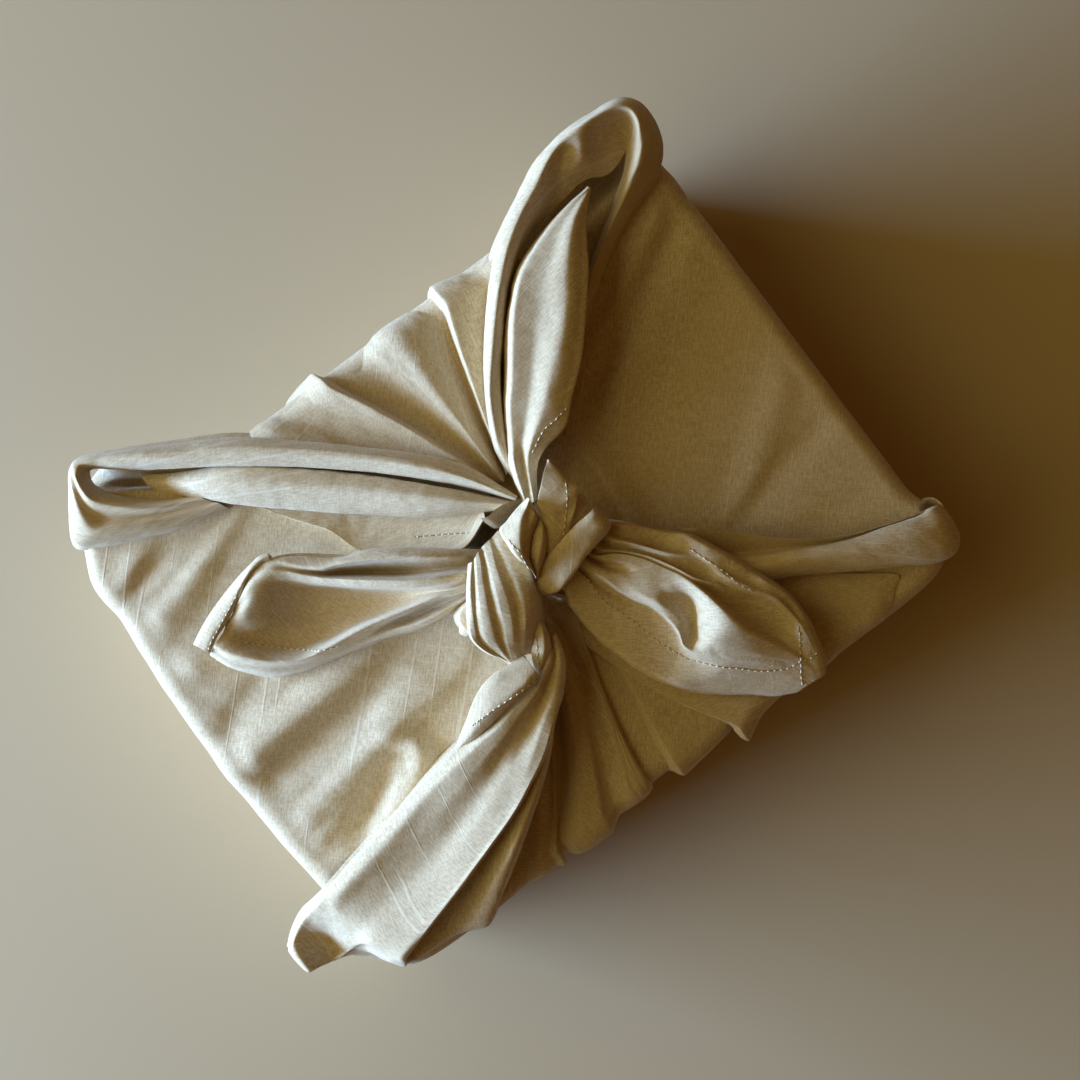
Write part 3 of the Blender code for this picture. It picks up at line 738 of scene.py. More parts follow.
LEFT_HEM_LAYER = (
    ((-66, 74.5, 71), (-58.7, 63.4, 71), (-50, 50.8, 71), (-45.3, 38.4, 71.5), (-37.2, 30.8, 72.5),
     (-24.5, 22.4, 75), (-14, 16.2, 79), (-2.4, 19.8, 82)),
    ((-66.8, 75, 73), (-59.5, 64, 73.6), (-50.5, 51.4, 74), (-45.9, 38.8, 74.4), (-37.7, 31.6, 76),
     (-25, 22.6, 79.5), (-14.2, 16.5, 83.5), (-1.8, 20.2, 86.5)),
    ((-61, 77, 71.5), (-53, 67, 72), (-45, 56, 72.4), (-40.5, 45, 72.8), (-33, 37, 74),
     (-21, 29, 77), (-11, 21.5, 81), (0, 23, 84)),
    ((-56, 80, 71), (-47, 71.5, 71.5), (-38, 61, 72), (-33, 51.5, 72.5), (-26, 44, 74),
     (-14, 36, 77.5), (-5, 28, 82), (3, 26, 84)),
)
TOP_ROLL = (
    ((15.2, 22.1, 84), (15.5, 33.2, 85), (18, 42.1, 86), (24, 54.1, 87), (32, 66.1, 87),
     (41.1, 77.1, 87), (51.1, 88.1, 87), (61.2, 97.3, 86), (71.2, 103.3, 86), (81.3, 107.9, 85.5),
     (91.4, 112.5, 85), (100.4, 114.5, 85), (109.5, 114.8, 85), (118.6, 114.4, 84.5),
     (127.8, 113.5, 84), (132.9, 109.8, 83.5), (134.5, 103.8, 83), (133.4, 96.1, 81),
     (129.7, 89.8, 79), (122.9, 84.4, 77.5), (115, 80.8, 76), (106.1, 77.1, 74.5), (96, 72.1, 73.5),
     (84.9, 65.1, 72.5), (73.7, 56.9, 71.5), (63.5, 50.3, 71)),
    ((16.5, 22.5, 88), (17, 33.4, 89.1), (20.4, 42.7, 90.6), (26.9, 54.6, 91.6), (36.2, 65.9, 92.6),
     (45.6, 76.3, 92.6), (55.5, 86.2, 92.6), (65, 94.2, 91.6), (75, 100.3, 91.1),
     (84.5, 104.8, 90.6), (93.6, 109.5, 91), (101.7, 112.1, 90), (109.6, 112.3, 90.5),
     (117.7, 112.2, 89.5), (125.9, 110.9, 88.5), (129.5, 107.5, 88), (129.6, 102.6, 87.5),
     (126.8, 96.7, 86.5), (122.9, 91.8, 86), (116.5, 87.4, 85), (109.3, 83.2, 83), (101.2, 79, 80),
     (91.4, 73.7, 77.5), (82, 66.9, 75), (72, 58.9, 73), (62.4, 51.3, 71.5)),
    ((17.5, 23, 88), (18.5, 33.9, 89.4), (22.9, 44.3, 90.4), (30.9, 56.7, 90.4), (40.8, 67.2, 90.4),
     (50.4, 77.8, 89.4), (60.3, 86.7, 89.4), (69.9, 93.8, 88.4), (79, 99, 87.4), (88, 102.5, 87.4),
     (96.1, 106.7, 87), (102.5, 108.5, 88), (108.8, 108.7, 89.5), (115.8, 109.3, 86),
     (122.9, 108.4, 83), (127.1, 106.5, 82), (127.5, 102.6, 83), (124.9, 98.3, 83),
     (120.6, 93.7, 82), (114.2, 89, 81), (106.8, 84.1, 79.5), (98.5, 79.3, 77.5), (89, 73.4, 76),
     (79.6, 66.4, 74), (70, 58.6, 72.5), (61.4, 51.3, 71.3)),
    ((18.5, 23.6, 86), (20, 34.5, 88), (25.5, 45.9, 89), (34.5, 58.9, 89), (44, 69, 85.5),
     (53.1, 79.3, 83.5), (63.3, 87.9, 82.5), (72.4, 94.1, 81.5), (82.5, 97.6, 81.5),
     (90.5, 100.1, 81.5), (97.5, 102.6, 84.5), (102.7, 103.7, 87), (107.7, 104.2, 87),
     (113.5, 105, 82), (119.8, 104.1, 78), (124, 103.3, 77), (125.4, 101.1, 78), (122.8, 98.6, 78),
     (118.8, 93.5, 77.5), (111.9, 88.6, 76.5), (104.4, 83.6, 75.5), (95.8, 78.6, 75),
     (86.7, 72.6, 74), (77.6, 65.5, 73), (68.5, 57.9, 72), (60.4, 50.8, 71)),
    ((19.6, 24.1, 84), (21.6, 35.2, 85), (28.1, 48.2, 85), (37.1, 61.8, 85), (47.2, 71.5, 84),
     (55.9, 80.8, 82), (65.7, 89.6, 80), (75, 94, 78), (85.2, 96, 78), (92.7, 96.9, 79),
     (99.2, 97.7, 80), (103.7, 97.2, 80), (107.4, 95.4, 79), (111.6, 94.5, 78), (116.6, 95.8, 76),
     (120.3, 97.5, 75), (121.8, 98, 75), (120.3, 96.5, 75), (116.3, 92.5, 74.5), (109.7, 87.9, 74),
     (102.1, 82.9, 73.5), (94, 77.8, 73), (84.9, 71.7, 72.5), (75.7, 64.6, 72), (67.5, 57.5, 71.5),
     (59.4, 50.3, 70.8)),
)
RIGHT_ROLL = (
    ((44.3, -20.2, 83), (57.3, -28.2, 85.5), (67.4, -37.3, 85), (79, -48.7, 84.5), (90.7, -58, 84),
     (102.9, -64.9, 83), (113.8, -69.4, 81), (124.9, -73.3, 78.5), (132.2, -74.8, 76),
     (136.9, -76.4, 70)),
    ((46.2, -30.2, 85), (58.5, -41.4, 79), (68.6, -47.8, 78.5), (80.3, -54.9, 78),
     (91.9, -61.5, 78), (104.1, -66.8, 77.5), (114.9, -70.4, 76.5), (125.3, -74, 75.5),
     (132.3, -75.1, 77.5), (136.9, -76.6, 72)),
    ((47.1, -33.1, 86), (59.2, -43.1, 86.3), (69.2, -50.2, 86.3), (80.8, -56.5, 85.8),
     (92.5, -62.4, 84.8), (104.8, -67.6, 83.3), (115.5, -71, 82.3), (125.4, -74.5, 80.8),
     (132.4, -75.6, 79), (136.9, -77.1, 73.5)),
    ((48.2, -40.2, 85), (61.1, -49.1, 86.5), (71.1, -55.1, 87), (83.1, -61.1, 87),
     (95.2, -67.7, 86.5), (107.4, -73.3, 85.5), (117.6, -77.5, 84.5), (126.4, -80.7, 83),
     (132.5, -81, 80.5), (136.7, -81.8, 74.5)),
    ((50.4, -48.5, 82), (62.4, -56, 83), (73.5, -61.5, 83), (86.2, -68.9, 82.5), (98.9, -77.1, 82),
     (111.1, -84.7, 81), (120.5, -90.3, 79.5), (129, -92.6, 77.5), (133.6, -89.8, 76),
     (136.4, -88.4, 71)),
    ((50.7, -50.8, 78), (62.9, -58, 78), (74.1, -63.6, 77.5), (86.9, -71.3, 77), (99.7, -79.6, 76),
     (112.1, -86.8, 75), (121.9, -92.9, 72), (130.4, -95.1, 70), (135.1, -92.5, 68),
     (137.7, -91.3, 62)),
)
RIGHT_LIP = (
    ((130.7, -79.3, 66), (132.7, -78.3, 66), (133.7, -77.8, 66), (134.4, -77.9, 65),
     (135.1, -79.7, 63), (135.5, -82.4, 62)),
    ((129, -74.5, 72), (131, -73.5, 72), (132.9, -73.2, 72), (134.8, -74.4, 71), (135.9, -76.8, 70),
     (136.4, -80.6, 68)),
    ((128.3, -72.8, 76), (130, -71.6, 76.5), (132.2, -71.3, 76.8), (134.5, -72.6, 76.5),
     (136.2, -75.6, 75), (136.8, -80, 72.5)),
    ((128.5, -72.3, 77.5), (129.9, -70.9, 78), (132.2, -70.5, 78), (134.7, -72.2, 77.5),
     (136.5, -75.3, 76), (137.1, -79.8, 73.5)),
)
FRONT_LAYER = (
    ((-27.1, -46.2, 87.8), (-36.2, -55.3, 87.7), (-46.9, -62.4, 87.3), (-58.6, -68.6, 86.6),
     (-70.8, -72.7, 85.6), (-84.3, -76.3, 83), (-97.9, -81.7, 78.8), (-103.1, -83.8, 76.9),
     (-109.3, -85.5, 75.3), (-120.7, -88.2, 74)),
    ((-26, -47.5, 90.4), (-35.1, -57.1, 90.6), (-45.5, -65.2, 90.4), (-56.9, -71.4, 89.3),
     (-69.2, -77.2, 87.3), (-82.8, -81.8, 84), (-96.4, -87.2, 79.4), (-102.1, -88.4, 77.2),
     (-108.2, -89.5, 75.9), (-120.5, -91.2, 74)),
    ((-24.9, -48.7, 91.7), (-34.3, -58.5, 92.3), (-44.3, -66.9, 92.5), (-55.7, -73.5, 91.7),
     (-67.7, -80, 89.9), (-81, -86, 86.5), (-94, -91.5, 81.7), (-100.9, -92.3, 78.3),
     (-107.1, -92.4, 76.5), (-120.2, -93, 73.8)),
    ((-24.2, -49.9, 92), (-33.6, -59.7, 93), (-43.6, -68.1, 93), (-55, -75.2, 92.5),
     (-66.6, -82.4, 91.3), (-79.7, -88.9, 88), (-91.9, -95.4, 82.5), (-100.3, -94.7, 78),
     (-106.5, -94.3, 76), (-120.2, -94.4, 73)),
    ((-23.8, -51, 91), (-33.1, -60.8, 91.5), (-43.2, -69.2, 91.5), (-54.3, -76.9, 91),
     (-65.8, -84.2, 90), (-78.6, -91.9, 86.5), (-90.4, -99.4, 79.5), (-100.1, -96.4, 76),
     (-106.4, -95.8, 74), (-120.4, -95.4, 71.5)),
    ((-23.6, -51.9, 84.9), (-32.9, -61.8, 84.3), (-43.1, -70.3, 83.7), (-54.3, -78.2, 82.3),
     (-65.9, -85.8, 80.8), (-78.7, -93.7, 77.5), (-90.9, -101.5, 70.9), (-100.8, -98.1, 69.5),
     (-107.1, -97.4, 68.2), (-121.1, -96.6, 67)),
)
LEFT_UPPER_LOW = (73,) * 7 + (75, 76, 75.5, 74, 73.5, 73, 72.8, 72.3)
TOP_ROLL_LOW = (73,) * 9 + (75, 78, 80.5, 83.5, 83, 82.5, 82, 81.5, 79.5, 77.5, 76, 74.5, 73, 72,
                            71, 70, 69.5)
for name, lines, low, tuck, turn, size in (
    ("left_roll_upper", LEFT_UPPER, LEFT_UPPER_LOW, (UNDER, None), 15, (30, 205)),
    ("left_roll_lower", LEFT_LOWER, None, (UNDER, UNDER), 15, (32, 140)),
    ("left_hem_layer", LEFT_HEM_LAYER, None, ((1.5, 3.0), None), 20, (20, 88)),
    ("top_roll", TOP_ROLL, TOP_ROLL_LOW, (UNDER, None), 20, (30, 225)),
    ("right_roll", RIGHT_ROLL, None, (UNDER, UNDER), 30, (38, 122)),
    ("right_lip", RIGHT_LIP, None, (None, None), 30, (12, 14)),
    ("front_layer", FRONT_LAYER, None, (UNDER, UNDER), 30, (27, 120)),
):
    folds = closed_down(lines, low, None)
    roll = drawn_sheet(name, folds, ROLL_STEPS, LINE_STEPS * len(folds), ROLL_WAVE, len(name),
                       tuck, radians(turn), stations=name != "left_roll_lower")
    finish_cloth(roll)

# ---------------------------------------------------------------------------------------------
# The four tails: the corners of the cotton cloth beyond the knot. Each is a soft sheet with a
# turned and stitched hem along its edges, drawn by the folds that run along it and closed down to
# the cloth under it. Two show their hem as a sheet of its own.
# ---------------------------------------------------------------------------------------------
TAIL_STEPS = 130
TAIL_WAVE = 0.2
SHEET = 0.7  # thickness of the hemmed cloth
HEM_TUCK = (1.5, 2.5)
BACK_TAIL = (
    ((13, 16.5, 80), (16.9, 29.4, 75), (20.3, 36.3, 75), (27.8, 47.8, 75), (35.3, 56.8, 75),
     (43.8, 68.3, 75), (52.3, 76.8, 75), (62.3, 85.3, 75), (80.3, 91.8, 82), (100.2, 94, 84)),
    ((12.6, 16.3, 84), (16.5, 29.5, 86), (20, 36.5, 84), (27.5, 48, 85), (35, 57, 86),
     (43.5, 68.5, 86), (52, 77, 86), (62, 85.5, 85), (80, 92, 84), (100, 94.3, 86)),
    ((13.6, 15.3, 87.5), (18.7, 28.8, 93), (22.5, 35, 92.1), (30, 46.3, 93.1), (37.5, 55, 93.6),
     (46.3, 66.3, 94.1), (54.5, 75.5, 94.1), (65, 83.8, 93.1), (82.5, 90.6, 90.6),
     (100.5, 93.6, 88.5)),
    ((15, 14.6, 87), (20.8, 27.5, 91), (25, 33, 91.6), (34, 42.5, 92.8), (42, 50.5, 93.3),
     (50.5, 60.5, 93.8), (59.5, 70, 94.1), (69.5, 78.5, 93.8), (85, 88, 91.6), (100.8, 93.5, 88.3)),
    ((16.3, 14.2, 88), (22.5, 26, 92.8), (28.5, 31.8, 94.5), (38.5, 38.3, 95.8), (46.5, 45, 96.3),
     (56, 52.5, 96.5), (66.5, 62.5, 96.5), (76, 74.5, 95.8), (88, 86, 93), (101, 93.4, 88)),
    ((17.3, 13.8, 87.5), (23.8, 24.2, 91.2), (30.2, 28.8, 93), (40.5, 31.8, 94), (49.2, 39.2, 94.4),
     (59.4, 47.4, 94.6), (70.3, 58.7, 94.4), (80.6, 71.2, 93.4), (90.4, 83.9, 91.3),
     (101.2, 93.2, 87.8)),
    ((18, 13.6, 86.5), (24.5, 23.2, 90), (31, 27, 91.5), (41.5, 29, 92.2), (50.5, 36.5, 92.7),
     (61, 45, 92.8), (72, 57, 92.6), (82.5, 69.5, 91.6), (91.5, 83, 90), (101.3, 93.1, 87.5)),
    ((17.6, 13.9, 83), (24, 24, 86), (30.5, 28.5, 88), (41, 31, 88), (49.5, 38, 88.5),
     (60, 46.5, 88.5), (71, 58.5, 88), (81.5, 70.5, 87.5), (90.5, 83.5, 87), (101, 93.2, 86.5)),
    ((17, 14, 79), (24.2, 23.7, 75), (30.6, 28.1, 75), (41.1, 30.6, 75), (49.7, 37.7, 75),
     (60.2, 46.2, 75), (71.2, 58.2, 75), (81.8, 70.2, 75), (90.9, 83.3, 85), (101.2, 93.2, 84.5)),
)
RIGHT_TAIL = (
    ((2.9, -11.1, 84), (5.5, -17.7, 84), (4.1, -23.3, 83), (3.9, -29.5, 82), (4.2, -35.5, 82),
     (4.9, -41.6, 82), (6.5, -47.7, 82), (8.3, -53.8, 82), (10.5, -60, 81.5), (13.6, -66.1, 81),
     (17.1, -71.3, 80), (21.7, -77.5, 79), (29.9, -84.3, 78), (37.6, -90.1, 78), (45.2, -96.4, 78),
     (52, -99.6, 79)),
    ((5, -11, 90), (8, -17.6, 90.2), (6, -23.1, 88.2), (5.8, -29.2, 86.7), (6, -35.2, 86.4),
     (7, -41.2, 86.2), (8.7, -47.3, 86.2), (10.8, -53.3, 86.2), (13.2, -59.4, 86),
     (16.3, -65.3, 86.2), (19.6, -70.9, 86.7), (25.2, -77.3, 84.2), (32.3, -83.8, 83),
     (39.7, -90, 82), (47.1, -96.1, 81), (53.2, -99.6, 80.5)),
    ((10, -10, 92), (14.3, -16, 89.4), (15, -22, 88.4), (15, -27.5, 87.4), (15.3, -32.5, 86.6),
     (16.8, -37.5, 86.4), (18.8, -43, 86.4), (20.5, -49, 85.9), (22.5, -54.5, 85.7),
     (25, -61.1, 85.9), (27.8, -66.6, 87.4), (34, -73.6, 89.7), (41.7, -81.1, 88),
     (50.8, -88.2, 86), (54.5, -94.6, 84), (56.7, -99.7, 82)),
    ((13.5, -9.6, 88), (15, -15.6, 87.8), (16, -21.6, 87.2), (18.3, -26.6, 86.1),
     (20.3, -31.2, 85.4), (22.8, -36.7, 85.3), (26.4, -42.1, 86.3), (28.5, -48.7, 86.3),
     (28.8, -54.7, 86.5), (27.4, -60.7, 86.9), (29.5, -66, 89.5), (35, -73.1, 90.3),
     (42.6, -80.6, 88.5), (51.6, -88, 86.2), (55.1, -94.5, 84.1), (57.2, -99.7, 82)),
    ((15.5, -9, 93), (17.2, -14.9, 94.5), (18.9, -20.4, 95), (20.9, -25.8, 95), (21.9, -30.4, 93.5),
     (24.3, -35.9, 92.5), (27.7, -41.9, 92.5), (29.7, -48.4, 92.8), (29.9, -54.3, 92.8),
     (28.5, -59.9, 91.5), (31, -65.4, 91.8), (36.5, -72.5, 91.2), (44.1, -80.3, 89),
     (52.5, -87.9, 86.4), (55.8, -94.3, 84.3), (57.7, -99.8, 82.1)),
    ((17, -8.5, 92), (19, -14.4, 93.5), (21.4, -19.9, 94.2), (24.9, -25.3, 94.7), (26.3, -29.7, 95),
     (27.8, -35.6, 95.6), (30.3, -41.5, 95.5), (32.4, -48.3, 93), (32.3, -54.4, 92.3),
     (30.5, -60.6, 90), (32.9, -65.1, 93), (38, -72.1, 92), (45.6, -80, 89.6), (53.6, -87.7, 86.6),
     (56.6, -94.3, 84.4), (58.2, -99.8, 82.1)),
    ((18.5, -8.6, 88), (20, -14, 90), (23.5, -20, 90.5), (28.4, -25.2, 93.5), (30.3, -29.5, 95),
     (32.3, -35.1, 95.6), (34.4, -41.3, 94.5), (36, -48.5, 91), (35.5, -54.6, 90),
     (33.5, -60.1, 90), (35.4, -64.6, 94.3), (39.9, -71.8, 92.7), (47.6, -79.8, 90),
     (54.9, -87.7, 86.8), (57.5, -94.3, 84.5), (58.8, -99.8, 82.2)),
    ((20.5, -8, 92), (21.1, -13.9, 93.6), (26.4, -19.4, 94.2), (31.3, -24.3, 94.7),
     (33.7, -28.7, 95), (36.2, -34.6, 95.6), (37.8, -40.7, 95.5), (39.3, -48, 91),
     (38.3, -53.5, 91), (37.4, -58.6, 93.5), (39.2, -63.9, 96.5), (42.8, -71.4, 93.8),
     (50, -79.6, 90.4), (56.3, -87.7, 87), (58.5, -94.3, 84.6), (59.4, -100, 82.2)),
    ((22, -8, 91), (21.9, -13.9, 93.6), (28.7, -18.3, 94.2), (33.8, -23.7, 94.7), (36.7, -28.1, 95),
     (39.6, -33.5, 95.6), (42.5, -39.3, 96.6), (44.8, -46.6, 98.7), (46, -51.7, 99.5),
     (47, -57.7, 99.5), (48, -63.7, 98.5), (50.2, -71, 95), (54.6, -79.4, 90.3), (58.6, -87.8, 87),
     (60, -94.4, 84.6), (60.1, -100.1, 82.2)),
    ((23.1, -8, 88), (22.8, -14, 91), (29.8, -19.8, 92), (35.2, -25.7, 93.5), (38.4, -30.6, 94.2),
     (41.9, -36.7, 94.8), (44.7, -43.1, 95.8), (47.9, -49.9, 92), (49.7, -55.5, 90.5),
     (51.6, -60.6, 89.5), (53.6, -66.1, 89.5), (56.1, -73.2, 89), (58.7, -80.3, 88),
     (61, -88, 86.1), (61.6, -94.5, 84.4), (60.7, -100.2, 82.1)),
    ((24.5, -7.5, 92), (25.4, -13.7, 93.6), (31.3, -19.3, 94.2), (36.6, -25.1, 94.7),
     (39.7, -29.8, 95), (42.9, -35.7, 95.6), (46, -42.2, 96.6), (50.7, -48.6, 95.5),
     (53.4, -54.4, 92.5), (55.1, -61.2, 89), (57.7, -67.3, 88), (60.3, -74.4, 87.5),
     (61.8, -80.9, 88), (62.8, -88.2, 86.4), (62.8, -94.7, 84.3), (61.4, -100.2, 82)),
    ((26.1, -7.5, 88), (28, -14, 90.5), (33.3, -19.8, 91), (38, -26.2, 92), (41.1, -31.2, 92.5),
     (44.8, -37.5, 92), (48.2, -43.8, 91.5), (52.7, -49.8, 93.5), (56.2, -55.4, 93),
     (59.5, -61, 91.5), (62.6, -67.1, 90.5), (64.2, -74.2, 89.5), (64.7, -80.8, 89),
     (64.4, -88.4, 86.4), (63.8, -94.8, 84.2), (61.9, -100.3, 81.9)),
    ((28, -7, 92), (30.7, -13.4, 95), (35.3, -18.6, 96.5), (39.7, -24.2, 95.9), (43.7, -29.2, 95.4),
     (49.3, -35.3, 93.4), (51.8, -42.3, 92.4), (54.9, -48.1, 94.9), (58.1, -54, 94.9),
     (61.1, -60, 93.9), (65, -66.1, 92.9), (66.4, -73.4, 90.4), (66.6, -80.5, 89.5),
     (65.6, -88.5, 86.3), (64.6, -94.9, 84), (62.4, -100.3, 81.8)),
    ((30.1, -6.5, 89), (33.5, -14, 91.5), (38.2, -19.4, 91.1), (41.8, -25.9, 90.2),
     (46.2, -29.7, 92.2), (51.5, -34.1, 93.7), (54, -40.5, 94.2), (56.5, -47, 93.2),
     (60, -53.5, 92.7), (63.1, -59.5, 93.1), (66.7, -65.7, 91.6), (67.8, -73.2, 89.1),
     (67.8, -80.5, 89), (66.5, -88.6, 86), (65.2, -95, 83.8), (62.8, -100.4, 81.6)),
    ((31.5, -6.5, 90), (37.4, -12.5, 93), (42.9, -17.9, 90.9), (47.7, -23.8, 91.2),
     (52.1, -27.7, 93.2), (55, -33.1, 93.7), (58, -39.1, 93.7), (61, -46.1, 92.7),
     (63.6, -52.6, 91.2), (65.7, -58.7, 92.8), (68.9, -65.9, 90.8), (69.9, -73.4, 88.8),
     (69.5, -80.7, 87.5), (67.9, -88.9, 85), (66.2, -95.2, 83.2), (63.6, -100.4, 81.2)),
    ((33.3, -6.1, 84), (40.8, -13.6, 86), (46.2, -20.1, 85), (51.7, -25.4, 86), (55.7, -29.9, 87),
     (58.2, -34.9, 87), (61.5, -42.1, 87), (64.3, -48.7, 86), (66.6, -54.9, 85), (68.5, -60.5, 86),
     (70.6, -67.2, 85), (71.5, -74.4, 84), (71, -81.4, 83), (69.3, -89.6, 81), (67.8, -96, 80),
     (64.6, -100.4, 79.5)),
)
LEFT_TAIL = (
    ((-11.8, -1, 80), (-18.5, 0, 85), (-24.3, 0.5, 87), (-34.2, 0.5, 85), (-44.3, 2.5, 82),
     (-54.4, 6.5, 79.5), (-64.7, 9.5, 76.5), (-80, 13, 73.8), (-90.2, 16, 73), (-99.2, 20.5, 73),
     (-106.2, 27, 73), (-111.1, 34, 73.5), (-113.3, 40.9, 75)),
    ((-11.7, 0, 84), (-18.4, 0.8, 88), (-24.1, 1.5, 90), (-33.9, 2.5, 89.5), (-43.9, 4.4, 87),
     (-53.1, 7.9, 83), (-64.3, 10.7, 80), (-78.5, 13.7, 77.5), (-88.5, 16.7, 77.5),
     (-97.5, 21.4, 78.2), (-103.9, 27.9, 79.7), (-108.7, 34.3, 81), (-111.5, 41.2, 81.4)),
    ((-11.7, 1, 82), (-18.4, 1.8, 86), (-24.8, 2.8, 86), (-34.4, 5.2, 82), (-43.4, 7.4, 80.5),
     (-52.3, 9.7, 81), (-63.1, 11.9, 81.5), (-76, 14.4, 81), (-87, 17.8, 81), (-96, 22.8, 81.2),
     (-102.4, 28.7, 82.2), (-107.5, 35.2, 82.5), (-110, 41.7, 82.4)),
    ((-11.6, 2, 86), (-18.3, 2.8, 90), (-25, 4.4, 91.8), (-32.7, 7.8, 92), (-42.4, 10.2, 92),
     (-51.2, 12.7, 91.1), (-61.1, 14.9, 89.8), (-72.1, 16.5, 88.5), (-84.1, 18.7, 87),
     (-93.2, 23.8, 86.2), (-99.7, 30, 86.2), (-104.9, 36, 85.5), (-108.3, 42.4, 83.9)),
    ((-11.7, 3, 84), (-18.4, 4, 88), (-25.7, 5.9, 87.2), (-34.1, 9.6, 83.9), (-43.8, 12.4, 79.7),
     (-53.5, 15.4, 76.9), (-63.6, 18.4, 76), (-75.7, 20.9, 75.8), (-83.8, 24.9, 76),
     (-90.7, 30.4, 77.2), (-96.4, 35.8, 79.7), (-100.1, 40.7, 82), (-102.5, 44.6, 82.9)),
    ((-11.7, 4, 84), (-18.4, 4.9, 88), (-26.2, 6.9, 86.7), (-35.3, 11.9, 80.5), (-45.6, 16.9, 74.4),
     (-55.9, 22, 72.3), (-66, 27, 72.6), (-75, 31, 73.4), (-81.7, 35.4, 76.5), (-86.9, 39.6, 82.2),
     (-92.6, 42.9, 84.7), (-97.8, 45, 84), (-100.5, 46.1, 82.9)),
    ((-11.6, 4.9, 85), (-18.3, 5.9, 90), (-26.1, 8.1, 89.5), (-36.1, 14.3, 84.3),
     (-46.4, 20.8, 77.9), (-55.7, 27.4, 74.6), (-62.8, 33.4, 74.9), (-69.6, 38.3, 77.2),
     (-75.4, 43, 82.3), (-81.1, 46.1, 87.2), (-86.9, 47.5, 88.3), (-92.3, 47.8, 85.8),
     (-96.8, 47.5, 83)),
    ((-11.5, 5.4, 87), (-18.2, 6.7, 92), (-25.8, 9.5, 94.5), (-36.5, 15.5, 94), (-46.3, 22.9, 92),
     (-54.3, 29.3, 90), (-61.4, 35.2, 88), (-67.4, 41.2, 87), (-72.7, 46.5, 87.8),
     (-77.9, 49.9, 89.2), (-83.4, 51.4, 89.3), (-89.1, 50.6, 87.3), (-93.5, 49.3, 84.8)),
    ((-11.5, 6.4, 88), (-18.1, 8.3, 93.5), (-25.7, 12.1, 96), (-36.3, 18.4, 96), (-46.2, 25.7, 94),
     (-54.1, 32.1, 92), (-60.7, 37.6, 90), (-65.6, 42.5, 89), (-70.5, 47.9, 89),
     (-75.4, 51.6, 89.3), (-80.4, 53.6, 88.3), (-85.1, 53.5, 86.3), (-88.8, 52.1, 84.5)),
    ((-11.2, 7.9, 82), (-18, 10.9, 84), (-26.4, 15.8, 84), (-37.6, 22.8, 79), (-47.7, 30.3, 77.5),
     (-54.5, 35.2, 79), (-60, 38.8, 83), (-65, 43.2, 86.5), (-69.7, 48.7, 88.2),
     (-73.5, 52.3, 88.8), (-77.5, 54.6, 88), (-80.5, 55.3, 87.3), (-82.6, 55.1, 86.7)),
    ((-10.1, 9.8, 86), (-17.2, 15.1, 91.5), (-24.9, 20.4, 94), (-34.5, 27.4, 94.5),
     (-44.3, 33.5, 93.5), (-52.2, 37.9, 92), (-59.1, 40.9, 90.5), (-64.1, 45.4, 89.5),
     (-68.6, 50.3, 89), (-71.9, 53.3, 88.5), (-74.6, 55.1, 88), (-76.6, 55.8, 87.6),
     (-78.1, 55.9, 87.3)),
    ((-9.3, 11.9, 82), (-16.5, 17.7, 86), (-24.2, 23.8, 88), (-33, 30.8, 88), (-42.9, 37.1, 87),
     (-50.8, 40, 86.5), (-56.6, 43.9, 86.5), (-62, 48.5, 86.5), (-66.9, 52, 86.5),
     (-69.9, 53.9, 86.5), (-71.8, 55.2, 86.4), (-73.3, 55.9, 86.2), (-74.4, 56.2, 86)),
)
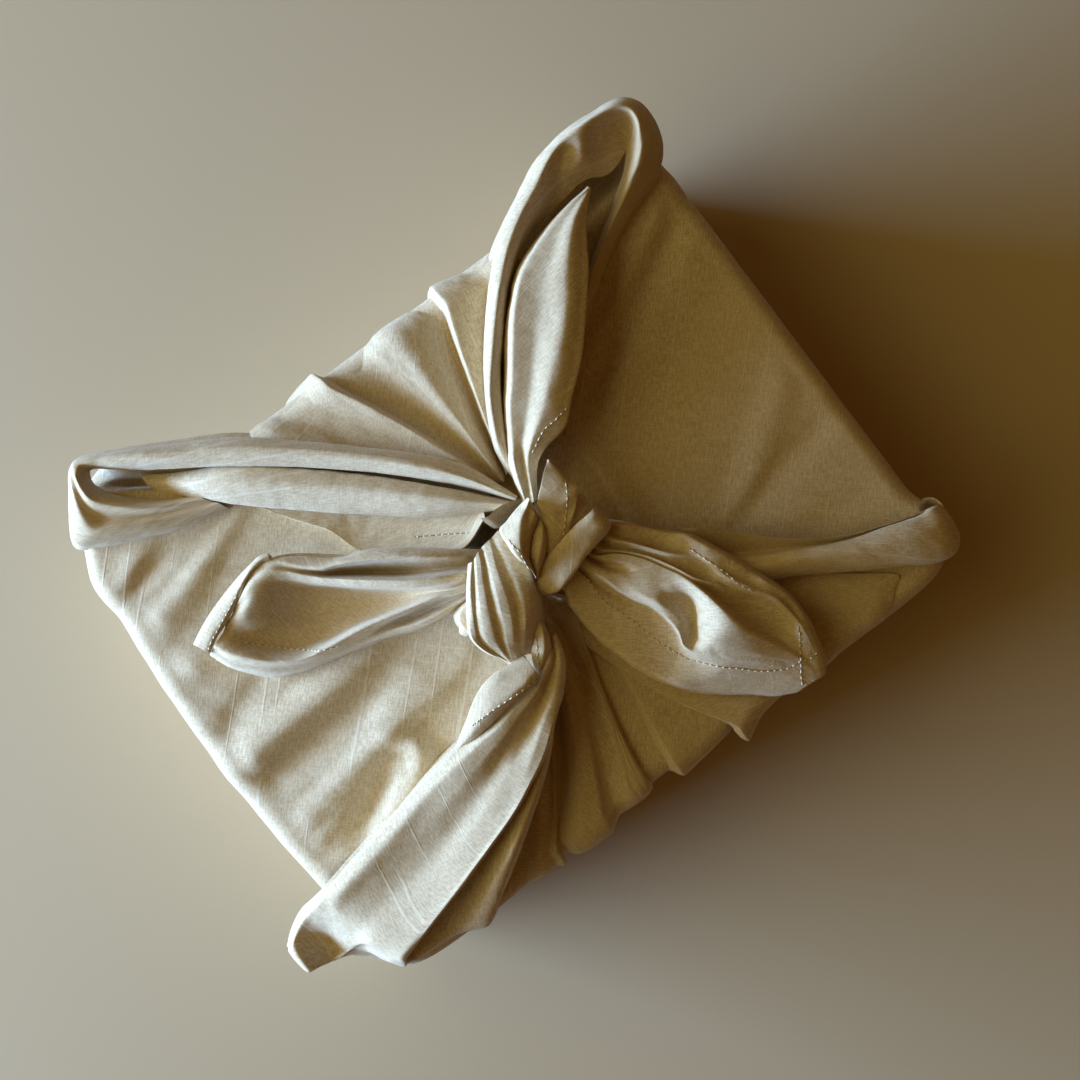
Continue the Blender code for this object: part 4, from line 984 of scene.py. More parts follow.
FRONT_TAIL = (
    ((-10.5, -27, 88), (-14.4, -32.7, 90), (-20.3, -36.5, 93), (-25.2, -36.6, 94),
     (-33.6, -37.6, 94), (-43, -38.6, 93.5), (-53.5, -39.7, 92.5), (-65.1, -40.8, 91.5),
     (-79.1, -42.8, 88.5), (-96.2, -46.9, 86.5), (-112.4, -50, 85), (-127.9, -53.2, 82.5),
     (-135.2, -54.4, 79), (-144.3, -55.9, 72.5), (-151.2, -59.2, 69.5), (-156.5, -63.2, 68),
     (-158.2, -64.5, 66)),
    ((-10.2, -27.2, 90), (-14, -33.1, 92), (-20.1, -37.9, 95.2), (-25, -38.7, 96),
     (-33.4, -39.5, 96), (-42.6, -40.8, 96), (-53.3, -41.5, 95), (-64.8, -42.6, 94),
     (-78.7, -44.5, 91.2), (-95.7, -48.6, 89.3), (-111.8, -51.8, 87.8), (-127.2, -55, 85.7),
     (-134.3, -56.3, 83), (-143.4, -57.8, 76.5), (-150.2, -60.8, 74), (-154.6, -64.1, 74),
     (-157.4, -65.6, 70)),
    ((-9.8, -27.5, 91), (-13.5, -33.6, 93.3), (-19.9, -38.3, 96.2), (-24.8, -39.6, 97.5),
     (-33, -41, 97.8), (-42.1, -42.9, 98), (-52.7, -43.8, 97.3), (-64, -45.4, 96),
     (-78.1, -47.6, 93), (-95.1, -51.5, 90.8), (-111.4, -54.7, 89), (-126.7, -57.5, 86.8),
     (-133.9, -59.5, 82.5), (-143, -62.3, 74), (-149.8, -63.4, 73), (-154.3, -66.3, 74.5),
     (-157.3, -67.3, 70.5)),
    ((-9.3, -27.7, 91.3), (-12.9, -34.2, 93.6), (-19.7, -38.6, 96.5), (-24.4, -40.7, 97.5),
     (-32.5, -43, 97.6), (-41.3, -46.2, 97.6), (-51.8, -48.2, 97), (-63, -50.8, 95.4),
     (-77.4, -54, 92.2), (-94.6, -57.7, 89.4), (-111.1, -60.4, 87.6), (-126.2, -63.1, 85.4),
     (-132.6, -66.1, 81.5), (-142.3, -69.3, 70.5), (-149.1, -69.2, 71), (-154.4, -70.5, 73.5),
     (-157.3, -71.5, 69.5)),
    ((-8.8, -28, 91), (-12.3, -34.8, 93), (-19.4, -39, 96), (-24.2, -41.9, 96.5),
     (-31.9, -45.5, 95.5), (-40.5, -49.6, 94.7), (-50.7, -53.7, 94.5), (-61.2, -58.3, 93.4),
     (-76, -61.9, 90.5), (-93.6, -66.1, 88.2), (-110.3, -68.3, 86.7), (-124.7, -70.6, 84.9),
     (-131.5, -73.2, 80), (-141.7, -77.2, 68.5), (-149.1, -77.1, 67.5), (-154.7, -75, 70.5),
     (-157, -75.8, 67)),
    ((-8.3, -28.2, 89.5), (-11.7, -35.6, 91.3), (-18.8, -40.8, 93.2), (-24, -44.6, 93.5),
     (-31.1, -48.8, 93.8), (-39.7, -52.4, 94.3), (-49.3, -57.8, 95.3), (-59.8, -63.3, 94.5),
     (-74.6, -67.8, 92.3), (-92.6, -74, 90.3), (-109.2, -77.2, 88.5), (-122.6, -78.9, 86.2),
     (-128.7, -79.4, 82.5), (-133.1, -78.2, 75), (-141.8, -78.5, 66), (-150.3, -77.1, 65),
     (-151.8, -77.4, 63)),
    ((-7.1, -28.5, 91), (-10.2, -36.4, 92.8), (-17, -43.5, 94.9), (-22.7, -47.8, 95.3),
     (-29.8, -52.4, 96.2), (-37.6, -57.8, 96.7), (-46.8, -63.7, 96.9), (-57.8, -69.6, 95.6),
     (-72.9, -74.5, 93.9), (-91.5, -80.1, 92.2), (-108.2, -84.8, 90.1), (-120.4, -87.9, 86.7),
     (-125, -88.5, 82), (-129.7, -87.2, 75.5), (-133.6, -84.2, 66), (-140.5, -80.5, 63),
     (-142, -80.7, 61)),
    ((-6, -28.7, 90), (-9, -37.4, 91.5), (-15.8, -45.6, 93.5), (-21.5, -49.9, 94.6),
     (-28.4, -55.2, 96.2), (-36.1, -60.7, 96.7), (-45.3, -65.4, 97.2), (-57, -70.7, 96.2),
     (-72.3, -75.7, 94.7), (-91.3, -81.5, 92.9), (-108.2, -86.3, 90.1), (-120.2, -90.1, 85.3),
     (-123.9, -93.2, 78), (-127, -93.5, 72), (-129.5, -91.9, 66), (-134.5, -87.8, 62),
     (-136, -87.1, 60)),
    ((-5.6, -29.1, 87), (-8.6, -38, 88), (-15.6, -46.6, 89.1), (-21.2, -51, 90.7),
     (-28, -56.4, 92.3), (-35.8, -62, 93.2), (-45.2, -66.5, 93.7), (-57.1, -71.9, 92.7),
     (-72.5, -76.9, 91.2), (-91.7, -82.7, 89.2), (-108.8, -87.5, 86.2), (-120.8, -91.4, 80.2),
     (-124.2, -94.7, 73), (-126.8, -94.8, 69), (-129.4, -93.2, 64), (-132.7, -90, 61),
     (-134.2, -89.3, 59)),
)
FRONT_HEM_PANEL = (
    ((-19.8, -27.1, 93), (-24.6, -27, 95), (-30.4, -26.5, 96.5), (-35.3, -26.8, 97),
     (-40.3, -28.2, 97), (-45.2, -30.8, 96.5), (-50.3, -33.9, 95.5), (-55.4, -36.9, 94),
     (-59.5, -39.7, 92.5)),
    ((-19.6, -28.6, 96), (-24.5, -28.5, 97.5), (-30.3, -28.3, 98.7), (-35.2, -28.7, 99),
     (-40.1, -30.4, 98.7), (-45.1, -32.9, 98), (-50.1, -35.4, 97), (-54.7, -38, 95.5),
     (-58.9, -40.3, 93)),
    ((-19.4, -34.6, 99.5), (-24.3, -35.4, 101), (-30.1, -35.8, 101.4), (-35, -36, 101.2),
     (-39.9, -36.2, 100.7), (-44.9, -36.8, 99.7), (-49.5, -38.1, 98.2), (-54.2, -39.5, 96),
     (-58.4, -40.5, 93.3)),
    ((-19.6, -37.4, 97), (-24.4, -37.9, 98.3), (-30.3, -38.5, 98.7), (-35.2, -39.2, 98.5),
     (-40.2, -40, 98), (-45.2, -40.7, 97), (-49.2, -40.9, 96), (-53.8, -40.8, 94.8),
     (-57.9, -40.6, 93)),
)
LEFT_END_HEM = (
    ((-111.4, 41.2, 82.1), (-106.8, 43.8, 83.6), (-100.7, 46, 84.1), (-93.4, 49.3, 85.3),
     (-88.2, 52.4, 86.5), (-82, 55.1, 88), (-76.5, 55.8, 88.4), (-72.6, 54.8, 88)),
    ((-112.4, 43.1, 83.4), (-106.9, 45.8, 84.8), (-99.9, 48.3, 85.6), (-92.2, 51.4, 86.8),
     (-86.5, 53.9, 88), (-80.9, 56, 88.9), (-75.9, 56.7, 89), (-72.4, 55.6, 88.5)),
    ((-113.5, 45.6, 83.1), (-107.3, 48.5, 84.1), (-99.4, 51.7, 84.8), (-90.9, 54.3, 86),
     (-84.6, 55.9, 87.5), (-79.8, 57.2, 88.4), (-75.6, 57.5, 88.4), (-72.1, 56.5, 88)),
    ((-115, 47.8, 80.6), (-108.2, 51.3, 80.3), (-99.3, 54.4, 80.8), (-90.3, 56.6, 82.5),
     (-83.9, 57.6, 84.7), (-79.3, 58.2, 86.1), (-75.5, 58.5, 86.2), (-72.2, 57.4, 86)),
)
for name, lines, first, last, tuck, turn, size in (
    ("back_tail", BACK_TAIL, None, None, (None, None), 45, (36, 125)),
    ("right_tail", RIGHT_TAIL, (74,) * 12 + (76, 76, 76, 77), None,
     (HEM_TUCK, HEM_TUCK), 45, (86, 98)),
    ("left_tail", LEFT_TAIL, (74,) * 6 + (75, 72.3, 71.5, 71.5, 71.5, 72, 73.5),
     (73,) * 6 + (75.5, 78.5, 81, 83, 84.2, 84.5, 84.5), (HEM_TUCK, HEM_TUCK), 45, (72, 112)),
    ("front_tail", FRONT_TAIL, (73,) * 11 + (79, 77, 70.5, 67.5, 66, 64), None,
     (HEM_TUCK, HEM_TUCK), 60, (48, 165)),
    ("front_tail_hem", FRONT_HEM_PANEL, None, None, (HEM_TUCK, HEM_TUCK), 45, (18, 44)),
    ("left_tail_hem", LEFT_END_HEM, None, None, (HEM_TUCK, HEM_TUCK), 90, (12, 40)),
):
    folds = closed_down(lines, first, last)
    tail = drawn_sheet(name, folds, TAIL_STEPS, LINE_STEPS * len(folds), TAIL_WAVE, 31 + len(name),
                       tuck, radians(turn), thick=SHEET, stations=not name.endswith("_hem"))
    finish_cloth(tail)

# ---------------------------------------------------------------------------------------------
# The knot: two tails crossed and tied, and the other two tied over them. A pleated bulge lies
# over a flat band, with a twisted strand on its shoulder and a small end that peeps out.
# ---------------------------------------------------------------------------------------------
KNOT_STEPS = 90
KNOT_LINE_STEPS = 12
KNOT_WAVE = 0.12
ROUND_EDGE = (2.0, 7.0)
FLAT_EDGE = (1.5, 4.0)
KNOB = (
    ((-16.6, 10.7, 86), (-20.8, 6.1, 86), (-25, 1, 84), (-28.1, -3.1, 84), (-31.2, -8.3, 84),
     (-32.2, -12.4, 84), (-31.6, -16.5, 85), (-30, -20.6, 84), (-27.3, -24.6, 86),
     (-26.2, -27.6, 88)),
    ((-15.2, 10.4, 100.3), (-19.5, 5.5, 101.3), (-23.4, 0.3, 101.2), (-26.4, -3.9, 101.2),
     (-29.2, -8.6, 101.7), (-30.4, -12.3, 101.7), (-30, -16.2, 100.9), (-28.6, -20.2, 98.7),
     (-26.6, -24.3, 95.3), (-25.8, -27.4, 91.9)),
    ((-14.1, 10.2, 101.9), (-17.9, 5.8, 102.6), (-21.4, 1, 102.5), (-24.1, -3.3, 102.2),
     (-26.7, -7.6, 102), (-28.8, -12.1, 101.6), (-28.8, -16.1, 100.5), (-27.7, -20.2, 98.5),
     (-26.2, -24.3, 95.8), (-25.4, -27.4, 92.7)),
    ((-12.9, 10.5, 101.7), (-16.3, 6.2, 102.1), (-19.8, 1.2, 102), (-22.8, -3.3, 101.8),
     (-25.7, -7.8, 101.6), (-27.9, -12, 101.1), (-28.2, -16.1, 100.1), (-27.2, -20.1, 98.3),
     (-25.9, -24.2, 95.6), (-25.3, -27.4, 93)),
    ((-11.8, 11, 102.2), (-14.4, 6.5, 103), (-17.7, 1.5, 103.1), (-20.7, -3.5, 103.1),
     (-23.2, -8.5, 102.6), (-25.5, -13, 101.9), (-26.4, -17, 100.7), (-26, -21.1, 98.5),
     (-25.4, -24.7, 95.8), (-25.1, -27.3, 93.2)),
    ((-10.2, 11.8, 102.1), (-12.5, 7, 103.1), (-15.4, 2, 103.3), (-18.1, -3.2, 103.4),
     (-20.8, -8.7, 102.9), (-22.9, -13.7, 102.1), (-24.4, -18, 100.7), (-24.8, -22.1, 98.6),
     (-24.9, -25.2, 95.8), (-24.8, -27.3, 93.3)),
    ((-8.5, 12.2, 101.2), (-10.5, 7.5, 102.3), (-13.1, 2.3, 102.7), (-15.6, -3, 102.8),
     (-18.1, -8.7, 102.3), (-20.4, -13.9, 101.3), (-22.3, -18.5, 99.9), (-23.6, -22.6, 97.8),
     (-24.1, -25.5, 95.5), (-24.3, -27.3, 93.2)),
    ((-6.9, 12.5, 101.4), (-8.7, 7.8, 103), (-10.8, 2.5, 103.6), (-13, -2.9, 103.8),
     (-15.6, -8.9, 103.2), (-17.8, -14.4, 102), (-20.4, -18.9, 100.6), (-22.3, -23.1, 98.2),
     (-23.1, -25.7, 95.5), (-23.4, -27.3, 93.3)),
    ((-4.9, 12.7, 101.2), (-6.6, 7.9, 103.2), (-8.6, 3, 103.9), (-10.5, -2.7, 104),
     (-12.7, -8.9, 103.3), (-15.3, -14.6, 102.2), (-18.2, -19.4, 100.7), (-20.5, -23.3, 98.2),
     (-21.7, -26, 95.6), (-22.4, -27.5, 93.2)),
    ((-3.1, 12.9, 100.5), (-4.7, 7.9, 102.3), (-6, 3, 103), (-7.6, -2.7, 103.1),
     (-9.3, -8.7, 102.4), (-11.8, -14.3, 101.3), (-15.1, -19.4, 100.1), (-18, -23.5, 97.9),
     (-19.7, -26.2, 95.2), (-20.6, -27.7, 93.2)),
    ((-1.7, 13.2, 100.3), (-2.7, 8.2, 102.6), (-3.3, 3.3, 103.3), (-4.6, -2.2, 103.5),
     (-6.6, -8.1, 102.9), (-9.1, -13.8, 101.7), (-12.3, -18.8, 100.5), (-15.8, -23.3, 98.1),
     (-18.2, -26.2, 95.3), (-19.6, -27.9, 93)),
    ((-0.2, 13.5, 100.1), (-0.7, 8.4, 102.2), (-0.8, 3.5, 103), (-1.8, -1.9, 103.2),
     (-3.8, -7.6, 102.6), (-6.6, -13.3, 101.4), (-10.1, -18.3, 100), (-14, -23, 97.6),
     (-17, -26.2, 95), (-18.8, -28.2, 92.7)),
    ((1, 13.5, 99), (1.1, 7.9, 100.9), (1.1, 3, 101.8), (0.6, -2.4, 101.4), (-0.9, -7.9, 100.3),
     (-3.7, -13.9, 98.7), (-7.3, -18.9, 97.3), (-11.6, -23.6, 95.1), (-15.6, -26.8, 93.5),
     (-18.2, -28.4, 91.8)),
    ((1.9, 12.1, 92.6), (2.5, 6, 93.1), (2.5, 1, 92.9), (2, -4, 91.7), (0.2, -9.1, 89.9),
     (-2.4, -15.1, 88.3), (-6.2, -20.6, 87.6), (-10.8, -24.9, 87.9), (-15.2, -27.7, 89.3),
     (-17.9, -28.8, 90.4)),
    ((2.8, 10.2, 86), (3.3, 4.1, 82), (3.3, -1.1, 80), (2.8, -6.3, 79), (0.7, -11, 78),
     (-1.9, -16.7, 78), (-5.8, -22.3, 79), (-10.6, -26.3, 82), (-15.1, -28.7, 85),
     (-17.8, -29.4, 88)),
)
STRAND = (
    ((15.3, 16.6, 102), (12, 16.3, 101), (8, 15.5, 101), (4, 14.4, 101), (1, 13.9, 101),
     (-0.2, 11.9, 103.7), (-0.5, 7.9, 105.1), (-0.8, 4, 106.6), (-0.4, 1, 107.6),
     (0.4, -1.9, 108.1), (0.9, -4.9, 105.2), (0.5, -8, 102.2)),
    ((15.4, 16, 104.5), (12, 15.1, 103.4), (8.5, 13.8, 104.4), (5.1, 12.6, 104.9),
     (2.6, 11.9, 105.2), (1.1, 9.9, 106), (0.8, 6.9, 107.2), (0.5, 4, 107.8), (0.5, 1.2, 108),
     (0.8, -1.7, 108), (1, -4.9, 106.2), (0.7, -7.9, 102.7)),
    ((15.4, 15.5, 105), (12.3, 13.6, 105.4), (9.3, 11.8, 107.2), (7.1, 10, 107.8), (5.3, 8.1, 108),
     (3.9, 6.1, 108), (2.9, 4.4, 107.9), (2.1, 2.5, 107.7), (1.7, 0.5, 107.4), (1.3, -1.9, 107.4),
     (1.2, -4.9, 105.4), (0.8, -7.9, 102.6)),
    ((15.3, 15.1, 104.5), (13, 12.1, 104.7), (10.8, 9.7, 106), (8.8, 7.9, 106.4), (6.8, 5.9, 106.4),
     (5.3, 4.3, 106.2), (4, 2.8, 105.9), (2.9, 1, 105.4), (2.2, -0.5, 105.1), (1.6, -2.5, 105.4),
     (1.3, -4.9, 104.2), (0.8, -8, 101.9)),
    ((15.3, 14.9, 103.5), (14.5, 12.4, 103.9), (13.5, 10.2, 105.2), (11.8, 8.5, 105.4),
     (9.5, 6.8, 105.3), (7.3, 5, 105), (5.5, 3, 104.6), (3.9, 1, 104.2), (2.7, -1, 103.9),
     (1.9, -3.1, 104.4), (1.4, -5.4, 103.2), (0.8, -8, 101.7)),
    ((15.3, 14.8, 101), (15, 11.9, 99.4), (14.3, 9, 99.9), (12.3, 7, 99.9), (10, 5.4, 99.9),
     (8, 3.6, 99.9), (6, 1.6, 99.9), (4.3, -0.3, 100.2), (3, -2, 100.4), (2.1, -4, 101.4),
     (1.4, -6, 101.2), (0.9, -8, 101.2)),
)
STRAND_LEAF = (
    ((15, 10, 99), (12.5, 7.8, 101), (10, 5.8, 102), (7.5, 3.5, 102.5), (5, 1, 102.5),
     (3.3, -1.5, 102.5), (2, -4, 102), (1, -8, 100)),
    ((15, 8.5, 100), (13.6, 5.5, 103.5), (11.5, 2.8, 104.5), (9.2, 0.4, 105), (6.8, -1.8, 105),
     (4.6, -3.8, 104.5), (2.6, -6, 103.5), (0.8, -8.3, 101)),
    ((15, 7.8, 98), (14, 4, 99), (12, 0.5, 100), (9.5, -2.3, 100.5), (7, -4.2, 100.5),
     (4.3, -6, 100), (2.3, -7.5, 99.5), (0.6, -8.8, 99)),
)
SHOULDER = (
    ((29.3, 23.1, 97.2), (25.6, 20.6, 100.8), (21.5, 17, 102.4), (17.5, 13.5, 102.7),
     (15.8, 10, 101.5), (13.5, 5, 101), (10.5, 0, 100.5), (8, -4.5, 99)),
    ((29.5, 23.1, 97.6), (27.4, 18.6, 100.9), (24.3, 13.5, 102.8), (21.3, 9.5, 103),
     (18.5, 6, 102.3), (15.8, 2.5, 102.2), (13, -1, 101.7), (10.5, -4.3, 100.5)),
    ((29.6, 22.8, 97.5), (29.5, 16.6, 100.6), (28.3, 11.8, 102.3), (25.5, 7.8, 103),
     (22.5, 4, 101.5), (19.3, 0.8, 101.6), (16, -2, 101), (13, -4.2, 100)),
    ((29.7, 22.6, 94), (30.5, 16.7, 97.5), (31.4, 11.6, 99.5), (31.8, 8.7, 101), (29.1, 5.6, 101.5),
     (25, 2, 101), (21, -1.2, 99.8), (16.5, -4.2, 99.5)),
)
SHOULDER_UNDER = (
    ((28.7, 9.1, 94), (27.1, 6.5, 96), (24.1, 3.5, 97.5), (20, 0, 98.5), (16, -3.5, 98.5)),
    ((30.5, 7.1, 93.5), (30, 5.3, 95.5), (27.6, 2.8, 97), (24, 0, 98), (19, -3.2, 98.3)),
    ((32.2, 6.1, 90), (32, 4, 92.5), (31.2, 1.5, 94.5), (28.1, -0.8, 96), (22.1, -3.5, 97)),
)
CROSS_BAND = (
    ((32.7, 0.8, 94), (30.7, -0.6, 101), (24, -1.2, 102.7), (18, -2.3, 102.4), (12, -3.5, 101.3),
     (8, -4.3, 100.6), (4, -6, 99.7), (1, -7.8, 97.5), (-1.6, -9.6, 95)),
    ((33.3, -1.6, 95), (31.1, -2.8, 103), (24.5, -3.6, 103.7), (17.9, -4.8, 103.3),
     (12, -5.9, 102.6), (8, -6.9, 101.4), (4, -8.5, 100.5), (0.5, -10, 98.2), (-2.1, -11.1, 95.5)),
    ((34, -5.6, 94.5), (31.9, -6.8, 102), (25, -7.5, 103), (18.3, -9.1, 102.6), (12, -10.7, 102),
     (7.5, -11.9, 100.8), (3.8, -12.8, 99.5), (0.3, -12.9, 97), (-2.2, -12.8, 94)),
    ((33.8, -9, 90.7), (31.5, -10.1, 97.8), (26.1, -10.9, 100.5), (20, -12, 101.3),
     (14.5, -13.9, 101), (9.5, -15.4, 100), (5, -16.4, 98.5), (1.4, -15.8, 95.5),
     (-1.7, -14.3, 90)),
    ((33.2, -9.5, 82), (31.1, -10.9, 84), (26.4, -11.7, 86), (20.2, -12.8, 88), (14.6, -14.6, 88),
     (9.5, -16.2, 86), (4.9, -17.3, 84), (1.3, -16.7, 82), (-1.9, -15.4, 80)),
)
NUB = (
    ((-24.3, 0.8, 86), (-28.4, 0.2, 86), (-31.8, -1.1, 85.5), (-33, -3.9, 85), (-33, -5.8, 85),
     (-34, -8, 85), (-32.8, -10.2, 85)),
    ((-23.9, -1, 91), (-27.3, -1.2, 90.5), (-29.5, -2.6, 90), (-30.6, -4.5, 89.5),
     (-30.9, -6.1, 89.5), (-31.6, -8.1, 89), (-31.5, -10, 87.5)),
    ((-25.1, -2.6, 90), (-27.1, -3.6, 90), (-28.7, -5.1, 89.5), (-29.5, -6.6, 89.5),
     (-30.2, -8.2, 89.5), (-30.7, -9.5, 89.5), (-31.1, -10.7, 88.5)),
)
UNDER_STRAND = (
    ((15, 17.2, 85.5), (12, 18.4, 87), (8, 20, 88.5), (4, 20.4, 90), (-0.1, 19.9, 91.5),
     (-2.6, 21, 91.5)),
    ((15, 16.6, 84.5), (12, 17.1, 85.5), (8, 18.1, 87), (3.9, 18.1, 88.5), (0.4, 17.6, 90),
     (-2.4, 19.2, 90)),
    ((15, 16, 80.5), (12, 15.9, 81), (8, 15.2, 82.5), (3.9, 14.2, 83.5), (0.9, 14.2, 84.5),
     (-1.2, 15.3, 84.5)),
)
SMALL_STRAND = (
    ((-9.7, -21.2, 95), (-12.2, -24.3, 95), (-15.8, -27.3, 94), (-18.4, -30.9, 93),
     (-19.9, -34, 92)),
    ((-8.1, -21.2, 95.2), (-9.1, -25.1, 96.2), (-12.1, -29.7, 96.2), (-15.7, -33.3, 94.7),
     (-19.8, -36.4, 92.7)),
    ((-7.3, -21.9, 90), (-7.6, -26, 90), (-9.8, -30.8, 90), (-14.2, -35.1, 90), (-19.5, -38.2, 90)),
)
for name, lines, tuck, size in (
    ("knot_bulge", KNOB, (None, None), (56, 56)),
    ("knot_strand", STRAND, (FLAT_EDGE, FLAT_EDGE), (18, 32)),
    ("knot_leaf", STRAND_LEAF, (FLAT_EDGE, FLAT_EDGE), (14, 28)),
    ("knot_shoulder", SHOULDER, (ROUND_EDGE, FLAT_EDGE), (20, 36)),
    ("knot_shoulder_under", SHOULDER_UNDER, (ROUND_EDGE, FLAT_EDGE), (14, 22)),
    ("knot_band", CROSS_BAND, (ROUND_EDGE, ROUND_EDGE), (34, 42)),
    ("knot_nub", NUB, (ROUND_EDGE, ROUND_EDGE), (18, 16)),
    ("knot_under", UNDER_STRAND, (ROUND_EDGE, ROUND_EDGE), (18, 22)),
    ("knot_small_strand", SMALL_STRAND, (ROUND_EDGE, ROUND_EDGE), (16, 22)),
):
    across = KNOT_LINE_STEPS * len(lines)
    fold = drawn_sheet(name, lines, KNOT_STEPS, across, KNOT_WAVE, 51 + len(name), tuck)
    finish_cloth(fold)

# ---------------------------------------------------------------------------------------------
# The hem stitches: rows of machine stitches in pale cotton thread, 7 to 9 mm inside the turned
# edges. Each stitch is a small rounded bar laid along its row on the cloth. Between two stitches
# sits a small flat dark dot of painted shade, standing for the shade in the dip of the needle.
# ---------------------------------------------------------------------------------------------
STITCH_PITCH = 2.4
STITCH_LENGTH = 1.8
STITCH_WIDTH = 0.62
STITCH_LIFT = 0.10
ABOVE = 200.0  # the rows are dropped on the cloth from here
ROW_STEPS = 12
STITCH_UNEVEN = (0.82, 1.08)
# thickness of the flat dark dot of painted shade laid in each needle dip
DIP_SHADE_THICKNESS = 0.3
TWIST = 2500.0  # turns of the thread's grain in a metre
STITCH_ROWS = (
    ("back_tail", ((45.5, 34), (40, 33), (34.5, 32.5), (27, 29))),
    ("right_tail", ((15, -17), (15, -25), (15.5, -31), (18, -38), (20, -45), (22, -53), (24.5, -60),
        (27, -65), (30, -68.5), (35, -74.5), (40, -79), (45, -84), (50, -87.5), (54, -89.5),
        (59, -90.3), (62, -91.5), (65.5, -91.5))),
    ("right_tail", ((51, -33), (53.5, -40), (55.5, -46), (56.5, -50), (57.5, -54), (60, -58.5))),
    ("right_tail", ((65.5, -79.5), (64.5, -82), (61, -87.5), (56.5, -94.5), (55, -97.5))),
    ("front_tail_hem", ((-21, -37), (-29, -37), (-38, -36.5), (-44, -36.5), (-49, -36.5))),
    ("left_tail_hem", ((-112, 42), (-108, 44.2), (-103, 46.4), (-96, 49.4), (-90, 52))),
    ("left_tail", ((-98.9, 36.3), (-89.3, 26.4), (-78.7, 18), (-70, 14.6))),
    ("left_hem_layer", ((-26.5, 30.5), (-20, 26.5), (-14.5, 23), (-10, 20))),
    ("knot_small_strand", ((-12.2, -25), (-13.5, -27.5), (-15.8, -31), (-17, -33.5))),
    ("knot_strand", ((1, 8), (1, 5.5), (1.5, 3), (1, -0.5), (0.7, -4))),
    ("knot_leaf", ((4.4, 0), (4, -2), (3.8, -4))),
    ("knot_shoulder", ((29.5, 13), (27, 8.8), (24, 5), (21, 1.8), (18, -1.2))),
)


def stitch_tree():
    """Bars and dots of painted dip shade by turns along every row, each turned along it, the bars a
    little uneven.
    """
    tree = bpy.data.node_groups.new("hem_stitching", "GeometryNodeTree")
    n = Nodes(tree)
    for name, kind in (
        ("Rows", "Geometry"), ("Pitch", "Float"), ("Length", "Float"), ("Width", "Float"),
        ("Seed", "Int"), ("Thread", "Material"), ("DipShade", "Material"),
    ):
        tree.interface.new_socket(name, in_out="INPUT", socket_type="NodeSocket" + kind)
    tree.interface.new_socket("Stitches", in_out="OUTPUT", socket_type="NodeSocketGeometry")

    def first(kind, settings=None, sockets=None):
        return n.node(kind, settings, sockets).outputs[0]

    given = n.node("NodeGroupInput").outputs
    curve = first("GeometryNodeMeshToCurve", None, {"Mesh": given["Rows"]})
    half = Sum(n, given["Pitch"]) * 0.5
    spacing = {"Curve": curve, "Length": half}
    spaced = first("GeometryNodeResampleCurve", {"mode": "LENGTH"}, spacing)
    order = first("GeometryNodeInputIndex")
    odd = n.number("ShaderNodeMath", {"operation": "MODULO"}, {0: order, 1: 2.0})
    along = first("GeometryNodeInputTangent")
    turned = first("FunctionNodeAlignRotationToVector", {"axis": "X"}, {"Vector": along})
    uneven = n.node(
        "FunctionNodeRandomValue",
        {"data_type": "FLOAT"},
        {"Min": STITCH_UNEVEN[0], "Max": STITCH_UNEVEN[1], "Seed": given["Seed"]},
    )
    long = Sum(n, given["Length"]) * Sum(n, uneven.outputs["Value"])
    width = given["Width"]
    size = first("ShaderNodeCombineXYZ", None, {"X": long, "Y": width, "Z": width})
    dip = first("ShaderNodeCombineXYZ", None, {"X": width, "Y": width, "Z": DIP_SHADE_THICKNESS * MM})
    bar = first("GeometryNodeMeshIcoSphere", None, {"Radius": 0.5, "Subdivisions": 1})
    joined = n.node("GeometryNodeJoinGeometry")
    # the odd points get flat dark dots: painted shade of the needle's dip between the bars
    for chosen, scale, finish in ((1 - odd, size, "Thread"), (odd, dip, "DipShade")):
        places = {"Points": spaced, "Selection": chosen, "Rotation": turned, "Scale": scale}
        made = first("GeometryNodeInstanceOnPoints", None, {**places, "Instance": bar})
        made = first("GeometryNodeRealizeInstances", None, {"Geometry": made})
        made = first("GeometryNodeSetShadeSmooth", None, {"Geometry": made})
        look = {"Geometry": made, "Material": given[finish]}
        tree.links.new(first("GeometryNodeSetMaterial", None, look), joined.inputs[0])
    n.node("NodeGroupOutput", None, {0: joined.outputs[0]})
    return tree


def thread_and_dip_shade(name, low, high):
    """Sewing thread with a fine slanting twist; also the dark painted shade of the small dip where
    the needle went in.
    """
    material = bpy.data.materials.new(name)
    n = Nodes(material)
    place = n.node("ShaderNodeTexCoord").outputs["Object"]
    grain = n.number("ShaderNodeTexNoise", None, {"Vector": place, "Scale": TWIST, "Detail": 2.0})
    tone = n.mix(n.between(grain, 0.35, 0.65), low, high)
    normal = n.node("ShaderNodeBump", None, {"Height": grain, "Strength": 0.4, "Distance": 0.0001})
    shader = n.node(
        "ShaderNodeBsdfPrincipled",
        None,
        {"Base Color": tone, "Normal": normal.outputs[0], "Roughness": 0.7},
    )
    shader.inputs["Sheen Weight"].default_value = 0.15
    n.node("ShaderNodeOutputMaterial", None, {0: shader.outputs[0]})
    return material


def stitched_rows():
    """The rows laid on the outer side of their pieces, as one mesh of edges."""
    points, edges = [], []
    context = bpy.context.evaluated_depsgraph_get()
    for name, row in STITCH_ROWS:
        cloth = BVHTree.FromObject(bpy.data.objects[name], context)
        above = np.column_stack([row, np.full(len(row), ABOVE)])
        path = even(above, ROW_STEPS * len(row))
        laid = []
        for place in path:
            spot, normal = cloth.ray_cast(Vector(place) * MM, Vector((0, 0, -1)))[:2]
            if spot:
                lift = STITCH_LIFT if normal.z > 0 else -STITCH_LIFT
                laid.append(spot + normal.normalized() * lift * MM)
        edges += [(len(points) + i, len(points) + i + 1) for i in range(len(laid) - 1)]
        points += laid
    mesh = bpy.data.meshes.new("hem_stitches")
    mesh.from_pydata(points, edges, [])
    return mesh


